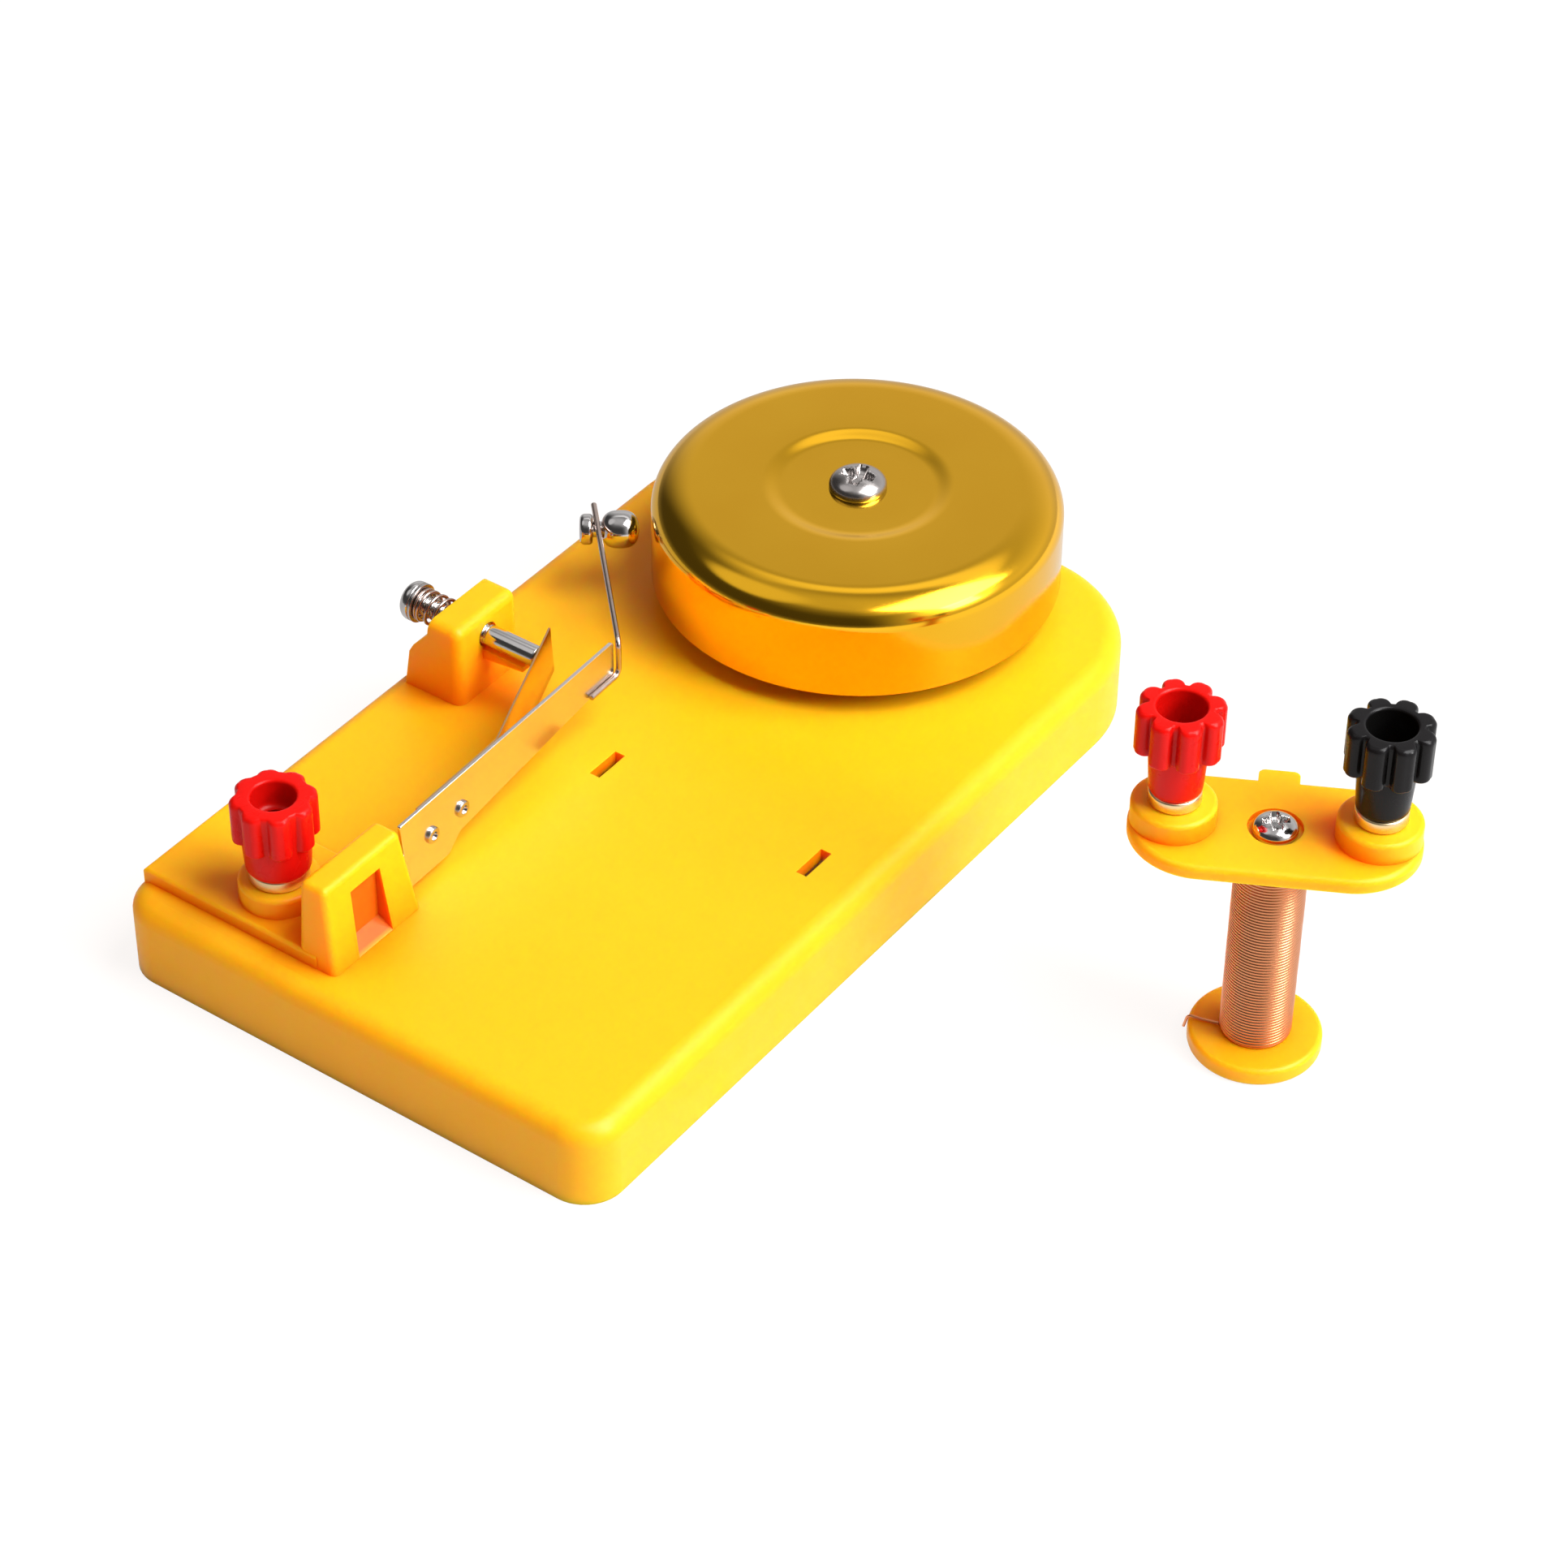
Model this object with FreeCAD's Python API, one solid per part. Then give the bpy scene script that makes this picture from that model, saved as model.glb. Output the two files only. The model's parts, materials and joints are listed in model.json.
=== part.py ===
import FreeCAD, Part
import math
import os

from FreeCAD import Placement, Rotation, Vector

# Electric bell demonstrator: a moulded base with a gong, an interrupter (spring armature with
# hammer, and a contact screw in a tower) and an electromagnet that lifts off and plugs into two
# slots of the base.  Millimetres, +Z up.  The origin is the centre of the base's footprint, on
# the surface it stands on; +X runs towards the gong and +Y towards the contact screw.

# ---- base moulding -----------------------------------------------------------------------------
BASE_LENGTH = 132.6
BASE_WIDTH = 77.4
BASE_HEIGHT = 12.1
BASE_WALL = 2.0
POST_END_CORNER_RADIUS = 5.6
GONG_END_CORNER_RADIUS = 19.6
TOP_EDGE_RADIUS = 2.7
RIB_THICKNESS = 1.5
RIB_END_GAP = 8.5

# ---- strip holder (the block that carries the armature's root) ---------------------------------
HOLDER_X = -61.6
HOLDER_Y = 5.4
HOLDER_LENGTH = 17.1
HOLDER_THICKNESS = 6.3
HOLDER_TOP_Z = 24.6
HOLDER_DRAFT_POST_END = 1.0
HOLDER_DRAFT_GONG_END = 1.3
HOLDER_DRAFT_FRONT = 2.0
HOLDER_DRAFT_BACK = 0.3
HOLDER_EDGE_RADIUS = 0.9
WINDOW_DEPTH = 2.4
WINDOW_TOP_Z = 21.9
WINDOW_FOOT = (4.8, 11.4)
WINDOW_HEAD = (5.5, 11.2)
WINDOW_FLOOR_RISE = 1.6

# ---- raised step and binding post bosses -------------------------------------------------------
STEP_HEIGHT = 2.0
STEP_BACK_INSET = 1.2
STEP_EDGE_RADIUS = 0.5
POST_FROM_STEP_END = 6.9
BASE_POST_X = HOLDER_X + POST_FROM_STEP_END
BASE_POST_Y = 20.2
BOSS_DIAMETER = 10.8
BOSS_HEIGHT = 3.0
BOSS_EDGE_RADIUS = 0.6

# ---- contact screw tower -----------------------------------------------------------------------
TOWER_X = -10.3
TOWER_WIDTH = 12.8
TOWER_FRONT_Y = 26.8
TOWER_THICKNESS = 5.0
TOWER_TOP_Z = 24.5
TOWER_EDGE_RADIUS = 1.4
BUTTRESS_SHOULDER = (0.3, 2.4)
BUTTRESS_KNEE = (2.8, 5.1)
BUTTRESS_SHIN = (3.6, 6.5)
BUTTRESS_FOOT_REACH = 4.7
CRADLE_WIDTH = 2.4
CRADLE_REACH = 6.8
CRADLE_DEPTH_AT_TOWER = 1.9
CRADLE_DEPTH_AT_END = 0.8

# ---- contact screw, its threaded insert and spring ---------------------------------------------
SCREW_X = -4.0
SCREW_Z = 20.8
SCREW_DIAMETER = 3.0
SCREW_TIP_GAP = 0.3
SCREW_LENGTH = 20.6
SCREW_HEAD_DIAMETER = 5.6
SCREW_HEAD_HEIGHT = 2.2
INSERT_DIAMETER = 5.0
INSERT_LENGTH = 4.0
SPRING_WIRE = 0.5
SPRING_DIAMETER = 4.8
SPRING_TURNS = 4.5
SPRING_POCKET_DIAMETER = 6.2
SPRING_WASHER_THICKNESS = 0.5
SPRING_SEAT_GAP = 0.05

# ---- armature: blade, contact spring, rivets, hammer -------------------------------------------
HINGE_X = -45.3
HINGE_Y = 7.8
BLADE_ANGLE = 1.75
BLADE_LENGTH = 45.8
BLADE_THICKNESS = 0.5
BLADE_TOP_Z = 24.9
BLADE_FOOT_Z = 13.8
BLADE_STEP_Z = 16.0
BLADE_END_Z = 19.4
BLADE_STEP_START = 9.3
BLADE_STEP_END = 11.8
ROOT_TAB_LENGTH = 3.3
ROOT_TAB_Z = (14.6, 20.0)
ROOT_SLOT_GAP = 0.4
RIVET_DIAMETER = 1.2
RIVET_HEAD_DIAMETER = 2.4
RIVET_HEAD_HEIGHT = 0.5
RIVET_DIMPLE_DIAMETER = 1.0
RIVET_DIMPLE_DEPTH = 0.3
RIVET_STATIONS = (6.0, 12.3)
RIVET_Z = 19.4
CONTACT_THICKNESS = 0.3
CONTACT_ROOT_START = 4.0
CONTACT_BEND_STATION = 20.9
CONTACT_REACH = 25.4
CONTACT_END_SLANT = 1.2
CONTACT_BEND_ANGLE = 20.0
CONTACT_Z = (16.6, 24.8)
WIRE_DIAMETER = 0.9
WIRE_WELD_BITE = 0.05
WIRE_FOOT_START = 40.0
WIRE_FOOT_Z = 19.4
WIRE_RISE_Z = 24.8
WIRE_RISE_GAP = 0.1
WIRE_TAIL = 5.0
WIRE_BEND_RADIUS = 1.2
HAMMER_X = 23.1
HAMMER_Y = 27.0
HAMMER_Z = 22.0
HAMMER_BODY_DIAMETER = 5.3
HAMMER_BODY_LENGTH = 5.3
HAMMER_DOME_RADIUS = 3.2
HAMMER_NECK_DIAMETER = 2.2
HAMMER_NECK_LENGTH = 1.1
HAMMER_FLANGE_DIAMETER = 4.3
HAMMER_FLANGE_LENGTH = 1.8

# ---- gong --------------------------------------------------------------------------------------
GONG_X = 43.3
GONG_Y = -0.5
GONG_DIAMETER = 56.8
GONG_SHEET = 1.0
GONG_RIM_LIFT = 3.1
GONG_TOP_Z = 29.9
GONG_SHOULDER_WIDTH = 5.7
GONG_SHOULDER_HEIGHT = 4.1
GONG_DISH_DIAMETER = 25.0
GONG_DISH_DEPTH = 0.8
GONG_DISH_RAMP = 0.9
GONG_SCREW_DIAMETER = 4.0
GONG_SCREW_LENGTH = 9.0
GONG_SCREW_HEAD_DIAMETER = 8.0
GONG_SCREW_HEAD_HEIGHT = 2.6
PILLAR_DIAMETER = 8.0
GONG_WASHER_DIAMETER = 9.0
GONG_WASHER_THICKNESS = 0.5
PILLAR_SCREW_LENGTH = 7.0
PILLAR_SCREW_WASHER_THICKNESS = 0.8

# ---- binding posts -----------------------------------------------------------------------------
COLLAR_EDGE_RADIUS = 0.3
COLLAR_HEIGHT = 1.8
STUD_SHANK_DIAMETER = 4.0
STUD_SHANK_TAIL = 1.0
STUD_BARREL_DIAMETER = 5.0
STUD_BARREL_HEIGHT = 6.0
SOCKET_DIAMETER = 4.1
SOCKET_DEPTH = 5.5
POST_NUT_ACROSS_FLATS = 7.0
POST_NUT_HEIGHT = 2.2
TAG_THICKNESS = 0.5
TAG_RING_DIAMETER = 7.6
TAG_TAIL_REACH = 6.2
TAG_TAIL_WIDTH = 2.6
CAP_EDGE_RADIUS = 0.5
CAP_GRIP_HEIGHT = 6.4
CAP_RIBS = 8
CAP_RIB_WIDTH = 2.8
CAP_RIB_RADIUS = 1.1
CAP_BORE_DEPTH = 6.2
CAP_FLOOR = 1.0
CAP_PLUG_HOLE_DIAMETER = 4.5
CAP_SEAT_GAP = 0.1
CAP_INSERT_WALL = 0.3
CAP_TURNS = {"base_post": 4.0, "red_post": 17.0, "black_post": 23.0}
# The base's cap is short and stout, the electromagnet's two are slimmer and taller.
BASE_CAP = {"height": 11.2, "foot": 8.0, "head": 9.4, "grip": 11.2, "recess": 5.8, "collar": 7.9}
MAGNET_CAP = {"height": 12.8, "foot": 6.7, "head": 8.4, "grip": 11.2, "recess": 6.2,
              "collar": 6.7}

# ---- link wire under the base ------------------------------------------------------------------
LINK_DIAMETER = 0.8
LINK_DROP_Z = 8.9
LINK_BEND_RADIUS = 1.0

# ---- electromagnet -----------------------------------------------------------------------------
MAGNET_X = 8.54
MAGNET_Y = -87.23
MAGNET_TURN = -62.0
SLOT_X = -8.0
SLOT_PITCH = 33.6
SLOT_NEAR_Y = 3.7
SLOT_LENGTH = 5.6
SLOT_SIDE_GAP = 0.1
PLATE_LENGTH = 36.4
PLATE_WIDTH = 18.2
PLATE_THICKNESS = 1.8
PLATE_EDGE_RADIUS = 0.8
POST_SPACING = 25.2
FLANGE_DIAMETER = 17.2
FLANGE_THICKNESS = 2.6
FLANGE_EDGE_RADIUS = 0.7
TAB_WIDTH = 5.2
TAB_THICKNESS = 1.4
TAB_REACH = 10.9
TAB_CORNER_RADIUS = 0.9
BOBBIN_TUBE_DIAMETER = 6.8
CORE_DIAMETER = 5.0
CORE_SCREW_DIAMETER = 3.0
CORE_SCREW_LENGTH = 7.0
CORE_SCREW_HEAD_DIAMETER = 5.8
CORE_SCREW_HEAD_HEIGHT = 2.0
CORE_RECESS_DIAMETER = 7.0
CORE_RECESS_DEPTH = 0.7
COIL_DIAMETER = 9.3
COIL_END_RADIUS = 0.4
LEAD_DIAMETER = 0.4
LEAD_TAIL_OVERHANG = 1.0

# ---- fits --------------------------------------------------------------------------------------
RUNNING_FIT = 0.05
THREAD_FIT = 0.03
ASSEMBLY_GAP = 0.1
BODY_GAP = 0.3
CUT_MARGIN = 1.0

# ---- heights that several pieces share ---------------------------------------------------------
TOP_Z = BASE_HEIGHT
CEILING_Z = BASE_HEIGHT - BASE_WALL
STEP_TOP_Z = TOP_Z + STEP_HEIGHT
STEP_CEILING_Z = STEP_TOP_Z - BASE_WALL
BASE_BOSS_TOP_Z = STEP_TOP_Z + BOSS_HEIGHT
PLATE_BOTTOM_Z = SLOT_PITCH - PLATE_THICKNESS / 2 + FLANGE_THICKNESS / 2
PLATE_TOP_Z = PLATE_BOTTOM_Z + PLATE_THICKNESS
PLATE_BOSS_TOP_Z = PLATE_TOP_Z + BOSS_HEIGHT
TOWER_BACK_Y = TOWER_FRONT_Y + TOWER_THICKNESS
HOLDER_GONG_END_X = HOLDER_X + HOLDER_LENGTH
DISH_Z = GONG_TOP_Z - GONG_DISH_DEPTH
CAP_BORE_DIAMETER = STUD_BARREL_DIAMETER + 2 * (RUNNING_FIT + CAP_INSERT_WALL + RUNNING_FIT)
TAB_MIDDLE_Z = PLATE_TOP_Z - TAB_THICKNESS / 2


# ---- general shapes ----------------------------------------------------------------------------

def box(x0, x1, y0, y1, z0, z1):
    """A box between two corners."""
    return Part.makeBox(x1 - x0, y1 - y0, z1 - z0, Vector(x0, y0, z0))


def rod(diameter, z0, z1, x=0.0, y=0.0):
    """An upright cylinder from z0 to z1."""
    return Part.makeCylinder(diameter / 2, z1 - z0, Vector(x, y, z0))


def ring(outer, inner, z0, z1, x=0.0, y=0.0):
    """An upright tube from z0 to z1."""
    bore = rod(inner, z0 - CUT_MARGIN, z1 + CUT_MARGIN, x, y)
    return rod(outer, z0, z1, x, y).cut(bore)


def prism(points, direction):
    """A polygon of 3-D points, pushed along a vector."""
    corners = [Vector(*point) for point in points]
    outline = Part.makePolygon(corners + corners[:1])
    return Part.Face(outline).extrude(direction)


def drafted_block(foot, head, foot_z, head_z):
    """A block with flat drafted sides, between two (x0, x1, y0, y1) outlines at two heights."""
    fx0, fx1, fy0, fy1 = foot
    hx0, hx1, hy0, hy1 = head
    seen_from_front = [(fx0, fy0, foot_z), (fx1, fy0, foot_z), (hx1, fy0, head_z),
                       (hx0, fy0, head_z)]
    seen_from_side = [(fx0, fy0, foot_z), (fx0, fy1, foot_z), (fx0, hy1, head_z),
                      (fx0, hy0, head_z)]
    across = prism(seen_from_front, Vector(0, fy1 - fy0, 0))
    return across.common(prism(seen_from_side, Vector(fx1 - fx0, 0, 0)))


def rounded_slab(x0, x1, y0, y1, low_x_radius, high_x_radius, z0, z1):
    """A slab with one corner radius at its low-X end and another at its high-X end."""
    corners = [
        (x1, y1, high_x_radius, 0.0),
        (x0, y1, low_x_radius, 90.0),
        (x0, y0, low_x_radius, 180.0),
        (x1, y0, high_x_radius, 270.0),
    ]
    arcs = []
    for x, y, radius, start in corners:
        centre = Vector(x - math.copysign(radius, x - (x0 + x1) / 2),
                        y - math.copysign(radius, y - (y0 + y1) / 2), z0)
        circle = Part.Circle(centre, Vector(0, 0, 1), radius)
        arcs.append(Part.Arc(circle, math.radians(start), math.radians(start + 90)).toShape())
    edges = []
    for arc, following in zip(arcs, arcs[1:] + arcs[:1]):
        edges.append(arc)
        edges.append(Part.makeLine(arc.valueAt(arc.LastParameter),
                                   following.valueAt(following.FirstParameter)))
    return Part.Face(Part.Wire(edges)).extrude(Vector(0, 0, z1 - z0))


def round_edges(shape, radius, picked):
    """Round the edges that the test picks, which is given each edge's bounding box."""
    edges = [edge for edge in shape.Edges if picked(edge.BoundBox)]
    return shape.makeFillet(radius, edges)


def at_height(z):
    """A test for edges that lie flat at one height."""
    return lambda bound: abs(bound.ZMin - z) < 0.01 and abs(bound.ZMax - z) < 0.01


def aimed(shape, origin, direction):
    """Turn a shape's +Z to a direction and set its origin."""
    turn = Rotation(Vector(0, 0, 1), Vector(*direction))
    moved = shape.copy()
    moved.Placement = Placement(Vector(*origin), turn).multiply(shape.Placement)
    return moved


def placed(shape, x, y, z=0.0, angle=0.0):
    """Turn a shape about Z, then move it."""
    moved = shape.copy()
    spin = Rotation(Vector(0, 0, 1), angle)
    moved.Placement = Placement(Vector(x, y, z), spin).multiply(shape.Placement)
    return moved


def spun(x, y, angle):
    """A plan point turned about the origin by an angle in degrees."""
    turn = math.radians(angle)
    return (x * math.cos(turn) - y * math.sin(turn), x * math.sin(turn) + y * math.cos(turn))


def bent_wire(points, diameter, radius):
    """A round wire along straight runs that tangent arcs join."""
    corners = [Vector(*point) for point in points]
    edges = []
    start = corners[0]
    for before, corner, after in zip(corners, corners[1:], corners[2:]):
        back = (before - corner).normalize()
        ahead = (after - corner).normalize()
        half_turn = (math.pi - back.getAngle(ahead)) / 2
        reach = radius * math.tan(half_turn)
        bisector = (back + ahead).normalize()
        centre = corner + bisector * (radius / math.cos(half_turn))
        entry = corner + back * reach
        leave = corner + ahead * reach
        middle = centre - bisector * radius
        edges.append(Part.makeLine(start, entry))
        edges.append(Part.Arc(entry, middle, leave).toShape())
        start = leave
    edges.append(Part.makeLine(start, corners[-1]))
    tangent = corners[1] - corners[0]
    section = Part.Wire([Part.makeCircle(diameter / 2, corners[0], tangent)])
    return Part.Wire(edges).makePipeShell([section], True, False)


def cross_recess(width, span, depth):
    """The cutter of a cross-head drive, from z = 0 downwards."""
    arm = box(-span / 2, span / 2, -width / 2, width / 2, -depth, CUT_MARGIN)
    return arm.fuse(placed(arm, 0, 0, 0, 90))


def pan_head_screw(diameter, length, head_diameter, head_height):
    """A cross-head screw: its head stands on z = 0 and its shank reaches down."""
    head = rod(head_diameter, 0, head_height)
    head = round_edges(head, head_height * 0.55, at_height(head_height))
    drive = cross_recess(head_diameter * 0.15, head_diameter * 0.55, head_height * 0.55)
    drive.translate(Vector(0, 0, head_height))
    return head.cut(drive).fuse(rod(diameter, -length, 0)).removeSplitter()


def save(shapes):
    """Write each node to its own file."""
    for name, shape in shapes.items():
        shape.exportStep(os.path.join("parts", name + ".step"))


# ---- base --------------------------------------------------------------------------------------

def base_tray():
    """The open-bottomed tray with its rounded top edge and stiffening ribs."""
    half_length = BASE_LENGTH / 2
    half_width = BASE_WIDTH / 2
    outer = rounded_slab(-half_length, half_length, -half_width, half_width,
                         POST_END_CORNER_RADIUS, GONG_END_CORNER_RADIUS, 0, TOP_Z)
    outer = round_edges(outer, TOP_EDGE_RADIUS, at_height(TOP_Z))
    inner = rounded_slab(-half_length + BASE_WALL, half_length - BASE_WALL,
                         -half_width + BASE_WALL, half_width - BASE_WALL,
                         POST_END_CORNER_RADIUS - BASE_WALL, GONG_END_CORNER_RADIUS - BASE_WALL,
                         -CUT_MARGIN, CEILING_Z)
    long_rib = box(-half_length + 1, half_length - 1,
                   -RIB_THICKNESS / 2, RIB_THICKNESS / 2, 0, CEILING_Z + 1)
    cross_rib = box(-RIB_THICKNESS / 2, RIB_THICKNESS / 2,
                    -half_width + 1, half_width - 1, 0, CEILING_Z + 1)
    screw_room = rod(2 * RIB_END_GAP, -CUT_MARGIN, CEILING_Z, GONG_X, GONG_Y)
    ribs = long_rib.fuse(cross_rib).cut(screw_room)
    return outer.cut(inner).fuse(ribs)


def strip_holder():
    """The drafted block that the armature's root sits in.  The window in its front face has an
    upright back and a floor that rises to it."""
    x0 = HOLDER_X
    x1 = HOLDER_GONG_END_X
    y0 = HOLDER_Y
    y1 = HOLDER_Y + HOLDER_THICKNESS
    foot = (x0, x1, y0, y1)
    head = (x0 + HOLDER_DRAFT_POST_END, x1 - HOLDER_DRAFT_GONG_END,
            y0 + HOLDER_DRAFT_FRONT, y1 - HOLDER_DRAFT_BACK)
    block = drafted_block(foot, head, TOP_Z - 1, HOLDER_TOP_Z)
    block = round_edges(block, HOLDER_EDGE_RADIUS, lambda bound: bound.ZMax > TOP_Z)
    foot_low, foot_high = WINDOW_FOOT
    head_low, head_high = WINDOW_HEAD
    front = y0 - CUT_MARGIN
    window = prism([(x0 + foot_low, front, TOP_Z), (x0 + foot_high, front, TOP_Z),
                    (x0 + head_high, front, WINDOW_TOP_Z), (x0 + head_low, front, WINDOW_TOP_Z)],
                   Vector(0, CUT_MARGIN + WINDOW_DEPTH, 0))
    floor_foot = TOP_Z - CUT_MARGIN
    floor_profile = [(y0, floor_foot), (y0, TOP_Z),
                     (y0 + WINDOW_DEPTH, TOP_Z + WINDOW_FLOOR_RISE),
                     (y0 + WINDOW_DEPTH, floor_foot)]
    window_floor = prism([(x0 + foot_low - CUT_MARGIN, y, z) for y, z in floor_profile],
                         Vector(foot_high - foot_low + 2 * CUT_MARGIN, 0, 0))
    return block.cut(window.cut(window_floor))


def root_slot():
    """The slot in the holder that the armature's root tab swings in."""
    low, high = ROOT_TAB_Z
    half = BLADE_THICKNESS / 2 + ROOT_SLOT_GAP
    slot = box(-ROOT_TAB_LENGTH - BODY_GAP, HOLDER_THICKNESS, -half, half,
               low - BODY_GAP, high + BODY_GAP)
    return placed(slot, HINGE_X, HINGE_Y, 0, BLADE_ANGLE)


def link_hole():
    """The upright hole that brings the link wire to the armature's root."""
    x, y = link_end_plan()
    return rod(2 * LINK_DIAMETER, 0, ROOT_TAB_Z[0] - BODY_GAP, x, y)


def raised_step():
    """The step behind the holder that carries the binding post's boss."""
    back_y = BASE_WIDTH / 2 - STEP_BACK_INSET
    step = box(HOLDER_X, HOLDER_GONG_END_X, HOLDER_Y + HOLDER_THICKNESS / 2, back_y,
               CEILING_Z, STEP_TOP_Z)
    step = round_edges(step, STEP_EDGE_RADIUS, at_height(STEP_TOP_Z))
    boss = rod(BOSS_DIAMETER, CEILING_Z, BASE_BOSS_TOP_Z, BASE_POST_X, BASE_POST_Y)
    boss = round_edges(boss, BOSS_EDGE_RADIUS, at_height(BASE_BOSS_TOP_Z))
    return step.fuse(boss)


def step_pocket():
    """The hollow under the raised step, which keeps its wall as thin as the base's."""
    return box(HOLDER_X + BASE_WALL, HOLDER_GONG_END_X - BASE_WALL,
               HOLDER_Y + HOLDER_THICKNESS + BASE_WALL,
               BASE_WIDTH / 2 - STEP_BACK_INSET - BASE_WALL,
               CEILING_Z - CUT_MARGIN, STEP_CEILING_Z)


def screw_tower():
    """The tower for the contact screw, with the buttress behind it and the cradle in front."""
    x0 = TOWER_X
    top = TOWER_TOP_Z
    back = TOWER_BACK_Y
    profile = [(TOWER_FRONT_Y, TOP_Z - 1), (TOWER_FRONT_Y, top), (back, top)]
    for reach, drop in (BUTTRESS_SHOULDER, BUTTRESS_KNEE, BUTTRESS_SHIN):
        profile.append((back + reach, top - drop))
    profile.append((back + BUTTRESS_FOOT_REACH, TOP_Z - 1))
    tower = prism([(x0, y, z) for y, z in profile], Vector(TOWER_WIDTH, 0, 0))

    def front_and_top(bound):
        flat_top = abs(bound.ZMin - top) < 0.01 and bound.YMin < back - 0.1
        front_corner = bound.YMax < TOWER_FRONT_Y + 0.01 and bound.XLength < 0.01
        return flat_top or front_corner

    tower = round_edges(tower, TOWER_EDGE_RADIUS, front_and_top)
    cradle_top = SCREW_Z - SCREW_DIAMETER / 2 - BODY_GAP
    inside = TOWER_FRONT_Y + TOWER_THICKNESS / 2
    cradle = prism([(SCREW_X - CRADLE_WIDTH / 2, inside, cradle_top),
                    (SCREW_X - CRADLE_WIDTH / 2, TOWER_FRONT_Y - CRADLE_REACH, cradle_top),
                    (SCREW_X - CRADLE_WIDTH / 2, TOWER_FRONT_Y - CRADLE_REACH,
                     cradle_top - CRADLE_DEPTH_AT_END),
                    (SCREW_X - CRADLE_WIDTH / 2, inside, cradle_top - CRADLE_DEPTH_AT_TOWER)],
                   Vector(CRADLE_WIDTH, 0, 0))
    return tower.fuse(cradle)


def along_screw(diameter, y0, y1):
    """A cylinder on the contact screw's axis from y0 to y1."""
    return Part.makeCylinder(diameter / 2, y1 - y0, Vector(SCREW_X, y0, SCREW_Z), Vector(0, 1, 0))


def screw_bores():
    """The clearance hole, the insert's seat and the spring's pocket through the tower."""
    hole = along_screw(SCREW_DIAMETER + 2 * BODY_GAP, TOWER_FRONT_Y - CUT_MARGIN, TOWER_BACK_Y)
    seat = along_screw(INSERT_DIAMETER, TOWER_BACK_Y - INSERT_LENGTH, TOWER_BACK_Y)
    pocket = along_screw(SPRING_POCKET_DIAMETER, TOWER_BACK_Y,
                         TOWER_BACK_Y + BUTTRESS_FOOT_REACH + CUT_MARGIN)
    return hole.fuse(seat).fuse(pocket)


def slot_cutters():
    """The two slots that the electromagnet's tabs plug into."""
    width = TAB_THICKNESS + 2 * SLOT_SIDE_GAP
    slots = []
    for y in (SLOT_NEAR_Y, SLOT_NEAR_Y - SLOT_PITCH):
        slots.append(box(SLOT_X - SLOT_LENGTH / 2, SLOT_X + SLOT_LENGTH / 2,
                         y - width / 2, y + width / 2, CEILING_Z - CUT_MARGIN, TOP_Z + CUT_MARGIN))
    return slots[0].fuse(slots[1])


def base_shell():
    """The one-piece base moulding."""
    solid = base_tray().fuse([raised_step(), strip_holder(), screw_tower()])
    post_hole = rod(STUD_SHANK_DIAMETER + 2 * ASSEMBLY_GAP, 0, BASE_BOSS_TOP_Z + CUT_MARGIN,
                    BASE_POST_X, BASE_POST_Y)
    pillar_hole = rod(GONG_SCREW_DIAMETER + 2 * ASSEMBLY_GAP, 0, TOP_Z + CUT_MARGIN,
                      GONG_X, GONG_Y)
    cutters = [step_pocket(), root_slot(), link_hole(), screw_bores(), slot_cutters(),
               post_hole, pillar_hole]
    return solid.cut(cutters).removeSplitter()


# ---- gong and what carries it ------------------------------------------------------------------

def gong_skin(outer_radius, top_z, shoulder_width, shoulder_height, dish_z, rim_z):
    """The solid under a gong's surface: flat rim, upright side, elliptic shoulder, dished top."""
    shoulder_z = top_z - shoulder_height
    flat_radius = outer_radius - shoulder_width
    dish_radius = GONG_DISH_DIAMETER / 2
    quarter = []
    steps = 12
    for step in range(steps + 1):
        angle = math.pi / 2 * step / steps
        quarter.append(Vector(flat_radius + shoulder_width * math.cos(angle), 0,
                              shoulder_z + shoulder_height * math.sin(angle)))
    shoulder = Part.BSplineCurve()
    shoulder.interpolate(quarter, InitialTangent=Vector(0, 0, 1), FinalTangent=Vector(-1, 0, 0))
    corners = [Vector(flat_radius, 0, top_z), Vector(dish_radius, 0, top_z),
               Vector(dish_radius - GONG_DISH_RAMP, 0, dish_z), Vector(0, 0, dish_z),
               Vector(0, 0, rim_z), Vector(outer_radius, 0, rim_z),
               Vector(outer_radius, 0, shoulder_z)]
    edges = [Part.makeLine(a, b) for a, b in zip(corners, corners[1:])]
    face = Part.Face(Part.Wire([shoulder.toShape()] + edges))
    return face.revolve(Vector(0, 0, 0), Vector(0, 0, 1), 360)


def gong():
    """The pressed gong, an even sheet with a hole for its screw."""
    radius = GONG_DIAMETER / 2
    rim_z = TOP_Z + GONG_RIM_LIFT
    outer = gong_skin(radius, GONG_TOP_Z, GONG_SHOULDER_WIDTH, GONG_SHOULDER_HEIGHT,
                      DISH_Z, rim_z)
    inner = gong_skin(radius - GONG_SHEET, GONG_TOP_Z - GONG_SHEET,
                      GONG_SHOULDER_WIDTH - GONG_SHEET, GONG_SHOULDER_HEIGHT - GONG_SHEET,
                      DISH_Z - GONG_SHEET, rim_z - CUT_MARGIN)
    hole = rod(GONG_SCREW_DIAMETER + 2 * ASSEMBLY_GAP, rim_z, GONG_TOP_Z + CUT_MARGIN)
    return placed(outer.cut(inner).cut(hole), GONG_X, GONG_Y)


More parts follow.
